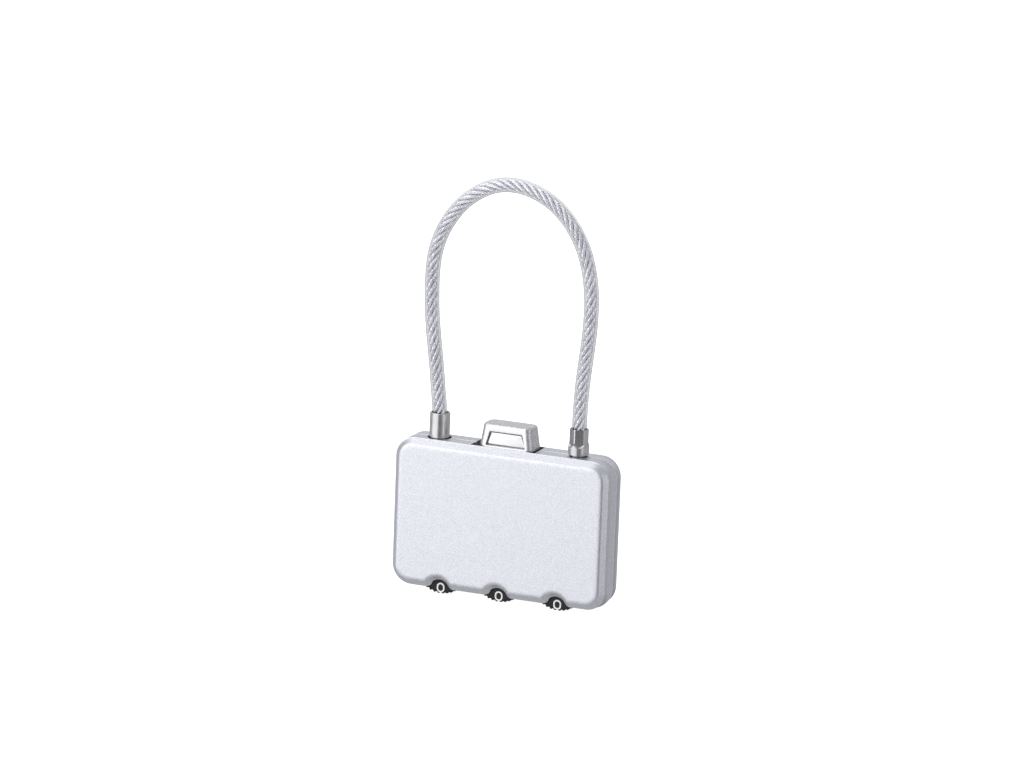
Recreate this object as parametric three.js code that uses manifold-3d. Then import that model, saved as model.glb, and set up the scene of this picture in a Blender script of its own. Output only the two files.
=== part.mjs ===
// Suitcase-shaped combination padlock with three dials and a cable shackle.
// Millimetres, +X to the right, the front faces -Y, +Z up. The parts are laid out in the case's own
// frame (z = 0 at the case's bottom edge) and the whole lock hangs from the crown of its cable loop.
import * as THREE from 'three';
import { mergeVertices } from 'three/addons/utils/BufferGeometryUtils.js';
import Module from 'manifold-3d';

// Case: two half shells that meet at y = 0, each with a sloping band around its flat face.
const CASE_WIDTH = 54;
const CASE_HEIGHT = 35.6;
const CASE_CORNER = 4.8;
const RIDGE_Y = 3.5;
const FACE_Y = 4.9;
const BAND_INSET = 1.4;
const SEAM_SWELL = 0.35;
const SEAM_Y = 0.1;
const WALL = 1.5;
const INNER_FACE_Y = 3.7;

// How far a cut runs past a body, and how far joined bodies reach into each other.
const THROUGH = 1;
const JOIN = 0.75;

// Dials: toothed discs whose lower rims stand out of the case's bottom edge.
const DIAL_SPACING = 14.8;
const DIAL_CENTRE_Z = 5.5;
const DIAL_TIP_RADIUS = 7.0;
const DIAL_ROOT_RADIUS = 6.5;
const DIAL_TEETH = 40;
const DIAL_FRONT_Y = -2.7;
const DIAL_BACK_Y = -0.5;
const DIAL_POCKET_RADIUS = 7.5;
const DIAL_POCKET_Y = -3.0;
const DIAL_BORE_RADIUS = 2.6;
const CODE_SIDES = 10;
const DIAL_CENTRES = [-DIAL_SPACING, 0, DIAL_SPACING];

// A tooth's half widths at its tip and foot, in pitches. A gap between two teeth faces upward.
const TOOTH_TIP_SHARE = 0.14;
const TOOTH_FOOT_SHARE = 0.36;
const FIRST_TOOTH = 0.5;

// Arched windows in the front cover. Both feet of an arch are rounded into the bottom edge.
const ARCH_RADIUS = 2.6;
const ARCH_CENTRE_Z = -0.45;
const ARCH_FOOT_RADIUS = 1.5;
const ARCH_BAND = 1.1;

// Dial posts, gate rings and clutch springs, all on the dials' axes.
const POST_RADIUS = 1.0;
const POST_FRONT_Y = -3.3;
const POST_BACK_Y = 4.1;
const COLLAR_RADIUS = 1.6;
const COLLAR_FRONT_Y = 0.65;
const COLLAR_BACK_Y = 1.15;
const FIT_GAP = 0.3;
const RING_RADIUS = 3.7;
const RING_WALL = 0.4;
const RING_FRONT_Y = -0.15;
const RING_FLOOR_Y = 0.35;
const RING_BACK_Y = 1.5;
const RING_HUB_RADIUS = 2.25;
const RING_HUB_FRONT_Y = -1.6;
const GATE_WIDTH = 1.6;
const CLUTCH_COIL_RADIUS = 1.65;
const CLUTCH_WIRE_RADIUS = 0.15;
const CLUTCH_TURNS = 2.5;

// Handle: the opening slider. It moves toward -X and takes the slider plate with it.
const HANDLE_X = 0.35;
const HANDLE_BASE = { halfWidth: 6.88, halfDepth: 3.15, z: 35.2 };
const HANDLE_TOP = { halfWidth: 6.1, halfDepth: 2.75, z: 41.0 };
const HANDLE_CORNER = 1.0;
const HANDLE_BEVEL = 0.5;
const PANEL_BASE = { halfWidth: 4.9, z: 35.95 };
const PANEL_TOP = { halfWidth: 4.15, z: 39.3 };
const PANEL_FLOOR_Y = 1.9;
const SLOT_LEFT = -8.3;
const SLOT_RIGHT = 7.8;
const SLOT_HALF_DEPTH = 3.35;
const STEM_HALF_WIDTH = 5.9;
const STEM_HALF_DEPTH = 2.6;
const FLANGE_LEFT = -9.2;
const FLANGE_RIGHT = 9.4;
const FLANGE_HALF_DEPTH = 2.9;
const FLANGE_BOTTOM_Z = 32.1;
const FLANGE_TOP_Z = 33.7;
const TONGUE_HALF_WIDTH = 5;
const TONGUE_FRONT_Y = 0.9;
const TONGUE_BACK_Y = 1.9;
const TONGUE_BOTTOM_Z = 26.9;
const SLIDER_TRAVEL = 1.5;

// Slider plate, its fingers, its lug behind the latch spring and its two screws.
const PLATE_FRONT_Y = 2.2;
const PLATE_BACK_Y = 3.0;
const RAIL_LEFT = -18.3;
const RAIL_RIGHT = 18.6;
const RAIL_BOTTOM_Z = 3.2;
const RAIL_TOP_Z = 7.8;
const WEB_HALF_WIDTH = 5.5;
const PLATE_TOP_Z = 30.4;
const ARM_BOTTOM_Z = 26.6;
const ARM_RIGHT = 13.7;
const FINGER_OFFSET = -2.7;
const FINGER_WIDTH = 0.4;
const FINGER_HEIGHT = 1.0;
const FINGER_FRONT_Y = 0.7;
const LUG_LEFT = 12.2;
const LUG_BOTTOM_Z = 27.8;
const LUG_TOP_Z = 29.4;
const LUG_FRONT_Y = -0.8;
const SPRING_TAB = { left: -5.5, right: -4.7, bottom: 20.6, top: 23.4, front: -1.2 };
const SCREW_X = 3;
const SCREW_Z = 29;
const SCREW_SHANK_RADIUS = 0.7;
const SCREW_HEAD_RADIUS = 1.3;
const SCREW_HEAD_FRONT_Y = 0.0;
const SCREW_HEAD_BACK_Y = 0.6;

// Return spring of the slider, between the spring tab and a stop on the back cover.
const RETURN_COIL_RADIUS = 1.1;
const RETURN_WIRE_RADIUS = 0.2;
const RETURN_TURNS = 5;
const RETURN_START_X = -13.6;
const RETURN_END_X = -5.9;
const RETURN_Y = 0.3;
const RETURN_Z = 22;
const SPRING_STOP = { left: -15.2, right: -14.1, bottom: 20.4, top: 23.6, front: -1.2 };

// Leaf spring over the dials.
const DETENT_FRONT_Y = -2.4;
const DETENT_BACK_Y = -0.8;
const DETENT_THICKNESS = 0.3;
const DETENT_TOP_Z = 15.2;
const DETENT_NOSE_Z = 12.7;
const DETENT_NOSE_HALF_WIDTH = 1.6;
const DETENT_HALF_LENGTH = 22.5;

// Cable ends: locking pin on the right, captive ferrule on the left.
const PIN_X = 17.5;
const PIN_HOLE_RADIUS = 2.1;
const PIN_TIP_Z = 26;
const PIN_GROOVE_BOTTOM_Z = 28;
const PIN_GROOVE_TOP_Z = 29.3;
const PIN_GROOVE_RADIUS = 1.1;
const PIN_RADIUS = 1.8;
const PIN_CHAMFER = 0.5;
const PIN_HEAD_BOTTOM_Z = 35.9;
const PIN_HEAD_TOP_Z = 39.0;
const PIN_HEAD_RADIUS = 2.45;
const CRIMP_TOP_Z = 42.1;
const CRIMP_ACROSS_FLATS = 4.2;
const CRIMP_SIDES = 6;
const CABLE_SOCKET_RADIUS = 1.95;
const CABLE_SOCKET_FLOOR_Z = 37.2;
const GUIDE = { left: 14.8, right: 20.2, bottom: 30.5 };
const FERRULE_X = -17.6;
const FERRULE_RADIUS = 2.4;
const FERRULE_TOP_Z = 41.6;
const FERRULE_BOTTOM_Z = 31.0;
const FERRULE_FLANGE_RADIUS = 3.2;
const FERRULE_FLANGE_BOTTOM_Z = 31.9;
const FERRULE_FLANGE_TOP_Z = 33.5;
const FERRULE_HOLE_RADIUS = 2.8;

// Latch spring: a leaf whose nose stands in the pin's groove.
const LATCH_LEFT = 14.0;
const LATCH_RIGHT = 14.3;
const LATCH_NOSE_X = 16.2;
const LATCH_HALF_DEPTH = 1;
const LATCH_BOTTOM_Z = 19.4;
const LATCH_NOSE_BOTTOM_Z = 28.2;
const LATCH_NOSE_TOP_Z = 29.1;
const LATCH_SEAT = { left: 13.0, right: 15.3, bottom: 18.0, top: 21.4, front: -1.6 };

// Case rivets, one in each corner.
const RIVET_X = 23.5;
const RIVET_LOW_Z = 3.7;
const RIVET_HIGH_Z = 31.7;
const RIVET_RADIUS = 0.8;
const RIVET_HEAD_RADIUS = 1.4;
const RIVET_HEAD_DEPTH = 0.55;
const RIVET_FRONT_Y = -3.0;
const BOSS_RADIUS = 1.9;

// Cable: the rope's centre line, from the captive ferrule over the crown to the locking pin.
const SHEATH_RADIUS = 1.75;
const SHEATH_BORE_RADIUS = 1.58;
const ROPE_RADIUS = 1.4;
const CABLE_SIDES = 8;
const CABLE_STEPS = 40;
const CABLE_ROUTE = [
  [-17.6, 37.6], [-17.65, 40.5], [-17.95, 43.8], [-18.4, 47.5], [-18.9, 52.0], [-19.5, 56.5],
  [-20.1, 61.0], [-20.55, 65.5], [-20.75, 70.0], [-20.75, 74.5], [-20.35, 78.8], [-19.25, 83.0],
  [-17.35, 87.0], [-14.6, 90.9], [-11.2, 94.0], [-7.2, 96.3], [-2.9, 97.4], [1.5, 97.2],
  [5.7, 95.9], [9.4, 93.8], [12.6, 90.9], [15.2, 87.3], [17.1, 83.4], [18.35, 79.2],
  [19.05, 74.8], [19.25, 70.2], [19.1, 65.6], [18.7, 61.0], [18.25, 56.7], [17.85, 52.4],
  [17.6, 48.2], [17.5, 44.6], [17.5, 41.0], [17.5, 37.6],
];
const CROWN_X = -2.2;
const CROWN_Z = 97.4;

const ARC_STEPS = 6;
const ROUND_SIDES = 24;
const SMALL_SIDES = 12;
const COIL_STEPS_PER_TURN = 10;
const WIRE_SIDES = 5;
const SAME_POINT = 1e-6;

const library = await Module();
library.setup();

const colours = {
  casting: new THREE.MeshStandardMaterial({ color: 0xc9cbd3, roughness: 0.42, metalness: 0.85 }),
  nickel: new THREE.MeshStandardMaterial({ color: 0xa6a6ab, roughness: 0.3, metalness: 1 }),
  steel: new THREE.MeshStandardMaterial({ color: 0x9a9da3, roughness: 0.35, metalness: 1 }),
  brass: new THREE.MeshStandardMaterial({ color: 0xb9995a, roughness: 0.4, metalness: 1 }),
  plastic: new THREE.MeshStandardMaterial({ color: 0x1c1c1e, roughness: 0.5, metalness: 0 }),
  sheath: new THREE.MeshStandardMaterial({
    color: 0xeef1f5, roughness: 0.15, metalness: 0, transparent: true, opacity: 0.4,
  }),
};

const lock = new THREE.Group();

// A closed three.js geometry as a solid that can be joined and cut.
function solidOf(geometry) {
  const bare = geometry.index ? geometry.toNonIndexed() : geometry.clone();
  bare.deleteAttribute('normal');
  bare.deleteAttribute('uv');
  const merged = mergeVertices(bare);
  return new library.Manifold(new library.Mesh({
    numProp: 3,
    vertProperties: new Float32Array(merged.attributes.position.array),
    triVerts: new Uint32Array(merged.index.array),
  }));
}

function geometryOf(solid) {
  const { vertProperties, triVerts } = solid.getMesh();
  const geometry = new THREE.BufferGeometry();
  geometry.setAttribute('position', new THREE.BufferAttribute(vertProperties, 3));
  geometry.setIndex(new THREE.BufferAttribute(triVerts, 1));
  geometry.computeVertexNormals();
  return geometry;
}

function addPart(name, solid, material) {
  const mesh = new THREE.Mesh(geometryOf(solid), material);
  mesh.name = name;
  lock.add(mesh);
}

// A box between two limits on each axis.
function box(x, y, z) {
  const geometry = new THREE.BoxGeometry(x[1] - x[0], y[1] - y[0], z[1] - z[0]);
  geometry.translate((x[0] + x[1]) / 2, (y[0] + y[1]) / 2, (z[0] + z[1]) / 2);
  return solidOf(geometry);
}

// A round bar along Y, from the front to the back.
function barY(x, z, radius, front, back, sides = ROUND_SIDES) {
  const geometry = new THREE.CylinderGeometry(radius, radius, back - front, sides);
  geometry.translate(x, (front + back) / 2, -z);
  geometry.scale(1, 1, -1);
  geometry.index.array.reverse();
  return solidOf(geometry);
}

// A round bar along Z.
function barZ(x, radius, bottom, top, sides = ROUND_SIDES) {
  const geometry = new THREE.CylinderGeometry(radius, radius, top - bottom, sides);
  geometry.rotateX(Math.PI / 2);
  geometry.translate(x, 0, (bottom + top) / 2);
  return solidOf(geometry);
}

// A flat outline in X and Z, given thickness from the front to the back.
function slab(shape, front, back, curveSegments = ARC_STEPS) {
  const geometry = new THREE.ExtrudeGeometry(shape, {
    depth: back - front, bevelEnabled: false, curveSegments,
  });
  geometry.rotateX(Math.PI / 2);
  geometry.translate(0, back, 0);
  return solidOf(geometry);
}

// A closed body through a row of outlines with equal point counts. place(point, level) sets a
// point in space, and each outline runs counterclockwise seen from the last outline's side.
function loft(outlines, place) {
  const positions = [];
  const count = outlines[0].points.length;
  for (const { points, level } of outlines) {
    for (const point of points) {
      positions.push(...place(point, level));
    }
  }
  const index = [];
  for (let ring = 0; ring < outlines.length - 1; ring += 1) {
    for (let i = 0; i < count; i += 1) {
      const low = ring * count + i;
      const lowNext = ring * count + ((i + 1) % count);
      index.push(low, lowNext, lowNext + count, low, lowNext + count, low + count);
    }
  }
  const last = (outlines.length - 1) * count;
  for (const [a, b, c] of THREE.ShapeUtils.triangulateShape(outlines[0].points, [])) {
    index.push(a, c, b);
  }
  for (const [a, b, c] of THREE.ShapeUtils.triangulateShape(outlines.at(-1).points, [])) {
    index.push(last + a, last + b, last + c);
  }
  const geometry = new THREE.BufferGeometry();
  geometry.setAttribute('position', new THREE.Float32BufferAttribute(positions, 3));
  geometry.setIndex(index);
  return solidOf(geometry);
}

const placeFacing = (point, y) => [point.x, y, point.y];
const placeStanding = (point, z) => [point.x, point.y, z];

// A rectangle with round corners, between two limits on each axis, counterclockwise.
function roundedRectangle(left, right, bottom, top, radius) {
  const shape = new THREE.Shape();
  shape.moveTo(left + radius, bottom);
  shape.lineTo(right - radius, bottom);
  shape.absarc(right - radius, bottom + radius, radius, -Math.PI / 2, 0);
  shape.lineTo(right, top - radius);
  shape.absarc(right - radius, top - radius, radius, 0, Math.PI / 2);
  shape.lineTo(left + radius, top);
  shape.absarc(left + radius, top - radius, radius, Math.PI / 2, Math.PI);
  shape.lineTo(left, bottom + radius);
  shape.absarc(left + radius, bottom + radius, radius, Math.PI, 1.5 * Math.PI);
  return shape;
}

// A closed outline's corners, each point once.
function loopPoints(shape, steps) {
  const points = shape.getPoints(steps);
  return points.filter((point, i) => point.distanceTo(points.at(i - 1)) > SAME_POINT);
}

function polygon(corners) {
  return new THREE.Shape(corners.map(([x, z]) => new THREE.Vector2(x, z)));
}

function mirrorY(points) {
  return points.map(({ points: outline, level }) => ({ points: outline, level: -level })).reverse();
}

// The outside of the case's front half, listed from the seam to the face.
function caseOutlines() {
  const caseOutline = (inset, swell, y) => ({
    level: y,
    points: loopPoints(roundedRectangle(
      -CASE_WIDTH / 2 + inset - swell, CASE_WIDTH / 2 - inset + swell,
      inset, CASE_HEIGHT - inset, CASE_CORNER - inset + swell), ARC_STEPS),
  });
  return [
    caseOutline(0, SEAM_SWELL, -SEAM_Y),
    caseOutline(0, 0, -RIDGE_Y),
    caseOutline(BAND_INSET, 0, -FACE_Y),
  ];
}

// The arched window over a dial, wider by grow, where the case's bottom edge stands at edgeZ.
function windowOutline(x, grow, edgeZ) {
  const arch = ARCH_RADIUS + grow;
  const foot = ARCH_FOOT_RADIUS - grow;
  const footZ = edgeZ + foot;
  const footX = Math.sqrt((arch + foot) ** 2 - (footZ - ARCH_CENTRE_Z) ** 2);
  const tilt = Math.atan2(footZ - ARCH_CENTRE_Z, footX);
  const shape = new THREE.Shape();
  shape.moveTo(x - footX, -THROUGH);
  shape.lineTo(x + footX, -THROUGH);
  shape.absarc(x + footX, footZ, foot, -Math.PI / 2, tilt - Math.PI, true);
  shape.absarc(x, ARCH_CENTRE_Z, arch, tilt, Math.PI - tilt);
  shape.absarc(x - footX, footZ, foot, -tilt, -Math.PI / 2, true);
  return loopPoints(shape, ARC_STEPS);
}

function windowCut(x) {
  const opening = windowOutline(x, 0, 0);
  const face = windowOutline(x, ARCH_BAND, BAND_INSET);
  return loft([
    { points: opening, level: DIAL_POCKET_Y + FIT_GAP },
    { points: opening, level: -RIDGE_Y },
    { points: face, level: -FACE_Y },
    { points: face, level: -FACE_Y - THROUGH },
  ], placeFacing);
}

function cornerPlaces() {
  const places = [];
  for (const x of [-RIVET_X, RIVET_X]) {
    for (const z of [RIVET_LOW_Z, RIVET_HIGH_Z]) {
      places.push([x, z]);
    }
  }
  return places;
}

// What both covers leave open in the case's top wall.
function cutTopOpenings(cover) {
  const slot = box([SLOT_LEFT, SLOT_RIGHT], [-SLOT_HALF_DEPTH, SLOT_HALF_DEPTH],
    [FLANGE_TOP_Z, CASE_HEIGHT + THROUGH]);
  return cover
    .subtract(slot)
    .subtract(barZ(FERRULE_X, FERRULE_HOLE_RADIUS, FLANGE_TOP_Z, CASE_HEIGHT + THROUGH))
    .subtract(barZ(PIN_X, PIN_HOLE_RADIUS, GUIDE.bottom - THROUGH, CASE_HEIGHT + THROUGH));
}

function makeFrontCover() {
  const outside = loft(caseOutlines(), placeFacing);
  const inside = slab(roundedRectangle(-CASE_WIDTH / 2 + WALL, CASE_WIDTH / 2 - WALL,
    DIAL_CENTRE_Z + DIAL_TIP_RADIUS, CASE_HEIGHT - WALL, WALL), -INNER_FACE_Y, THROUGH);
  let cover = outside.subtract(inside);
  for (const x of DIAL_CENTRES) {
    cover = cover
      .subtract(barY(x, DIAL_CENTRE_Z, DIAL_POCKET_RADIUS, DIAL_POCKET_Y, THROUGH))
      .subtract(barY(x, DIAL_CENTRE_Z, POST_RADIUS + FIT_GAP, POST_FRONT_Y - FIT_GAP, 0, SMALL_SIDES))
      .subtract(windowCut(x));
  }
  cover = cover.add(box([GUIDE.left, GUIDE.right], [-INNER_FACE_Y - FIT_GAP, -SEAM_Y],
    [GUIDE.bottom, CASE_HEIGHT - JOIN]));
  for (const [x, z] of cornerPlaces()) {
    const boss = barY(x, z, BOSS_RADIUS, -INNER_FACE_Y - FIT_GAP, -SEAM_Y, SMALL_SIDES);
    const hole = barY(x, z, RIVET_RADIUS + FIT_GAP, RIVET_FRONT_Y - FIT_GAP, THROUGH, SMALL_SIDES);
    cover = cover.add(boss.intersect(outside)).subtract(hole);
  }
  addPart('front_cover', cutTopOpenings(cover), colours.casting);
}

function makeBackCover() {
  const outside = loft(mirrorY(caseOutlines()), placeFacing);
  const inside = slab(roundedRectangle(-CASE_WIDTH / 2 + WALL, CASE_WIDTH / 2 - WALL,
    WALL, CASE_HEIGHT - WALL, WALL), -THROUGH, INNER_FACE_Y);
  const root = INNER_FACE_Y + FIT_GAP;
  let cover = outside.subtract(inside);
  for (const { left, right, bottom, top, front } of [LATCH_SEAT, SPRING_STOP]) {
    cover = cover.add(box([left, right], [front, root], [bottom, top]));
  }
  const leafSlot = box([LATCH_LEFT - FIT_GAP, LATCH_RIGHT + FIT_GAP],
    [-LATCH_HALF_DEPTH - FIT_GAP, LATCH_HALF_DEPTH + FIT_GAP],
    [LATCH_BOTTOM_Z - FIT_GAP, LATCH_SEAT.top + THROUGH]);
  cover = cover.subtract(leafSlot).add(box([GUIDE.left, GUIDE.right], [SEAM_Y, root],
    [GUIDE.bottom, CASE_HEIGHT - JOIN]));
  for (const x of DIAL_CENTRES) {
    cover = cover.subtract(barY(x, DIAL_CENTRE_Z, POST_RADIUS + FIT_GAP, THROUGH,
      POST_BACK_Y + FIT_GAP, SMALL_SIDES));
  }
  for (const [x, z] of cornerPlaces()) {
    const boss = barY(x, z, BOSS_RADIUS, SEAM_Y, root, SMALL_SIDES).intersect(outside);
    const hole = barY(x, z, RIVET_RADIUS + FIT_GAP, -THROUGH, FACE_Y + THROUGH, SMALL_SIDES);
    const sink = barY(x, z, RIVET_HEAD_RADIUS + FIT_GAP, FACE_Y - RIVET_HEAD_DEPTH - FIT_GAP,
      FACE_Y + THROUGH);
    cover = cover.add(boss).subtract(hole).subtract(sink);
  }
  addPart('back_cover', cutTopOpenings(cover), colours.casting);
}

function makeCaseRivets() {
  cornerPlaces().forEach(([x, z], i) => {
    const shank = barY(x, z, RIVET_RADIUS, RIVET_FRONT_Y, FACE_Y - RIVET_HEAD_DEPTH / 2, SMALL_SIDES);
    const head = barY(x, z, RIVET_HEAD_RADIUS, FACE_Y - RIVET_HEAD_DEPTH, FACE_Y);
    addPart(`case_rivet_${i + 1}`, shank.add(head), colours.steel);
  });
}

function dialOutline(x) {
  const corners = [];
  const pitch = (2 * Math.PI) / DIAL_TEETH;
  const profile = [
    [-TOOTH_FOOT_SHARE, DIAL_ROOT_RADIUS], [-TOOTH_TIP_SHARE, DIAL_TIP_RADIUS],
    [TOOTH_TIP_SHARE, DIAL_TIP_RADIUS], [TOOTH_FOOT_SHARE, DIAL_ROOT_RADIUS],
  ];
  for (let tooth = 0; tooth < DIAL_TEETH; tooth += 1) {
    for (const [share, radius] of profile) {
      const angle = (tooth + FIRST_TOOTH + share) * pitch;
      corners.push([x + radius * Math.cos(angle), DIAL_CENTRE_Z + radius * Math.sin(angle)]);
    }
  }
  return polygon(corners);
}

function makeDialStack(x, number) {
  const bore = barY(x, DIAL_CENTRE_Z, DIAL_BORE_RADIUS, DIAL_FRONT_Y - THROUGH,
    DIAL_BACK_Y + THROUGH, CODE_SIDES);
  const dial = slab(dialOutline(x), DIAL_FRONT_Y, DIAL_BACK_Y).subtract(bore);
  addPart(`dial_${number}`, dial, colours.plastic);

  const rim = barY(x, DIAL_CENTRE_Z, RING_RADIUS, RING_FRONT_Y, RING_BACK_Y);
  const hub = barY(x, DIAL_CENTRE_Z, RING_HUB_RADIUS, RING_HUB_FRONT_Y, RING_FLOOR_Y, CODE_SIDES);
  const cup = barY(x, DIAL_CENTRE_Z, RING_RADIUS - RING_WALL, RING_FLOOR_Y, RING_BACK_Y + THROUGH);
  const eye = barY(x, DIAL_CENTRE_Z, POST_RADIUS + FIT_GAP, RING_HUB_FRONT_Y - THROUGH,
    RING_BACK_Y, SMALL_SIDES);
  const gate = box([x - RING_RADIUS - THROUGH, x - POST_RADIUS - THROUGH],
    [RING_FLOOR_Y, RING_BACK_Y + THROUGH],
    [DIAL_CENTRE_Z - GATE_WIDTH / 2, DIAL_CENTRE_Z + GATE_WIDTH / 2]);
  const ring = rim.subtract(cup).subtract(gate).add(hub).subtract(eye);
  addPart(`gate_ring_${number}`, ring, colours.brass);

  const shaft = barY(x, DIAL_CENTRE_Z, POST_RADIUS, POST_FRONT_Y, POST_BACK_Y, SMALL_SIDES);
  const collar = barY(x, DIAL_CENTRE_Z, COLLAR_RADIUS, COLLAR_FRONT_Y, COLLAR_BACK_Y, SMALL_SIDES);
  addPart(`dial_post_${number}`, shaft.add(collar), colours.steel);

  const coil = coilSolid(CLUTCH_COIL_RADIUS, CLUTCH_WIRE_RADIUS, CLUTCH_TURNS,
    (across, up, share) => new THREE.Vector3(x + across,
      THREE.MathUtils.lerp(DIAL_FRONT_Y, RING_HUB_FRONT_Y - FIT_GAP, share), DIAL_CENTRE_Z + up));
  addPart(`clutch_spring_${number}`, coil, colours.steel);
}

// A round wire wound in a coil. place(across, up, share) sets its centre line.
function coilSolid(radius, wireRadius, turns, place) {
  const points = [];
  const steps = turns * COIL_STEPS_PER_TURN;
  for (let i = 0; i <= steps; i += 1) {
    const angle = (i / COIL_STEPS_PER_TURN) * 2 * Math.PI;
    points.push(place(radius * Math.cos(angle), radius * Math.sin(angle), i / steps));
  }
  return tubeSolid(points, wireRadius, WIRE_SIDES, steps);
}

function circleShape(radius, sides) {
  const corners = [];
  for (let i = 0; i < sides; i += 1) {
    const angle = (i / sides) * 2 * Math.PI;
    corners.push(new THREE.Vector2(radius * Math.cos(angle), radius * Math.sin(angle)));
  }
  return new THREE.Shape(corners);
}

function tubeSolid(points, radius, sides, steps, boreRadius = 0) {
  const section = circleShape(radius, sides);
  if (boreRadius > 0) {
    section.holes.push(circleShape(boreRadius, sides));
  }
  return solidOf(new THREE.ExtrudeGeometry(section, {
    steps, extrudePath: new THREE.CatmullRomCurve3(points), bevelEnabled: false,
  }));
}

// A leaf along X with one V-shaped nose over each dial.
function makeDetentSpring() {
  const lower = [[-DETENT_HALF_LENGTH, DETENT_TOP_Z]];
  for (const x of DIAL_CENTRES) {
    lower.push([x - DETENT_NOSE_HALF_WIDTH, DETENT_TOP_Z], [x, DETENT_NOSE_Z],
      [x + DETENT_NOSE_HALF_WIDTH, DETENT_TOP_Z]);
  }
  lower.push([DETENT_HALF_LENGTH, DETENT_TOP_Z]);
  const upper = lower.map(([x, z]) => [x, z + DETENT_THICKNESS]).reverse();
  addPart('detent_spring', slab(polygon([...lower, ...upper]), DETENT_FRONT_Y, DETENT_BACK_Y),
    colours.steel);
}

function handleOutline({ halfWidth, halfDepth }, corner) {
  return loopPoints(roundedRectangle(HANDLE_X - halfWidth, HANDLE_X + halfWidth,
    -halfDepth, halfDepth, corner), ARC_STEPS);
}

function makeHandle() {
  const crown = { halfWidth: HANDLE_TOP.halfWidth - HANDLE_BEVEL,
    halfDepth: HANDLE_TOP.halfDepth - HANDLE_BEVEL };
  const grip = loft([
    { points: handleOutline(HANDLE_BASE, HANDLE_CORNER), level: HANDLE_BASE.z },
    { points: handleOutline(HANDLE_TOP, HANDLE_CORNER), level: HANDLE_TOP.z - HANDLE_BEVEL },
    { points: handleOutline(crown, HANDLE_CORNER), level: HANDLE_TOP.z },
  ], placeStanding);
  const panel = polygon([
    [HANDLE_X - PANEL_BASE.halfWidth, PANEL_BASE.z],
    [HANDLE_X + PANEL_BASE.halfWidth, PANEL_BASE.z],
    [HANDLE_X + PANEL_TOP.halfWidth, PANEL_TOP.z],
    [HANDLE_X - PANEL_TOP.halfWidth, PANEL_TOP.z],
  ]);
  const stem = box([HANDLE_X - STEM_HALF_WIDTH, HANDLE_X + STEM_HALF_WIDTH],
    [-STEM_HALF_DEPTH, STEM_HALF_DEPTH], [FLANGE_BOTTOM_Z, HANDLE_BASE.z + JOIN]);
  const flange = box([FLANGE_LEFT, FLANGE_RIGHT], [-FLANGE_HALF_DEPTH, FLANGE_HALF_DEPTH],
    [FLANGE_BOTTOM_Z, FLANGE_TOP_Z]);
  const tongue = box([-TONGUE_HALF_WIDTH, TONGUE_HALF_WIDTH], [TONGUE_FRONT_Y, TONGUE_BACK_Y],
    [TONGUE_BOTTOM_Z, FLANGE_BOTTOM_Z + JOIN]);
  let handle = grip
    .subtract(slab(panel, -HANDLE_BASE.halfDepth - THROUGH, -PANEL_FLOOR_Y))
    .subtract(slab(panel, PANEL_FLOOR_Y, HANDLE_BASE.halfDepth + THROUGH))
    .add(stem)
    .add(flange)
    .add(tongue);
  for (const x of [-SCREW_X, SCREW_X]) {
    handle = handle.subtract(barY(x, SCREW_Z, SCREW_SHANK_RADIUS + FIT_GAP,
      TONGUE_FRONT_Y - THROUGH, TONGUE_BACK_Y + THROUGH, SMALL_SIDES));
  }
  addPart('handle', handle, colours.casting);
}

function makeSliderPlate() {
  const outline = polygon([
    [RAIL_LEFT, RAIL_BOTTOM_Z], [RAIL_RIGHT, RAIL_BOTTOM_Z], [RAIL_RIGHT, RAIL_TOP_Z],
    [WEB_HALF_WIDTH, RAIL_TOP_Z], [WEB_HALF_WIDTH, ARM_BOTTOM_Z], [ARM_RIGHT, ARM_BOTTOM_Z],
    [ARM_RIGHT, PLATE_TOP_Z], [-WEB_HALF_WIDTH, PLATE_TOP_Z], [-WEB_HALF_WIDTH, RAIL_TOP_Z],
    [RAIL_LEFT, RAIL_TOP_Z],
  ]);
  let plate = slab(outline, PLATE_FRONT_Y, PLATE_BACK_Y);
  for (const x of DIAL_CENTRES) {
    const clear = POST_RADIUS + FIT_GAP;
    const slot = roundedRectangle(x - clear, x + clear + SLIDER_TRAVEL,
      DIAL_CENTRE_Z - clear, DIAL_CENTRE_Z + clear, clear - FIT_GAP / 2);
    const centre = x + FINGER_OFFSET;
    const finger = box([centre - FINGER_WIDTH / 2, centre + FINGER_WIDTH / 2],
      [FINGER_FRONT_Y, PLATE_BACK_Y],
      [DIAL_CENTRE_Z - FINGER_HEIGHT / 2, DIAL_CENTRE_Z + FINGER_HEIGHT / 2]);
    plate = plate.subtract(slab(slot, PLATE_FRONT_Y - THROUGH, PLATE_BACK_Y + THROUGH)).add(finger);
  }
  for (const x of [-SCREW_X, SCREW_X]) {
    plate = plate.subtract(barY(x, SCREW_Z, SCREW_SHANK_RADIUS + FIT_GAP,
      PLATE_FRONT_Y - THROUGH, PLATE_BACK_Y + THROUGH, SMALL_SIDES));
  }
  const lug = box([LUG_LEFT, ARM_RIGHT], [LUG_FRONT_Y, PLATE_BACK_Y], [LUG_BOTTOM_Z, LUG_TOP_Z]);
  const tab = box([SPRING_TAB.left, SPRING_TAB.right], [SPRING_TAB.front, PLATE_BACK_Y],
    [SPRING_TAB.bottom, SPRING_TAB.top]);
  addPart('slider_plate', plate.add(lug).add(tab), colours.steel);
}

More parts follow.
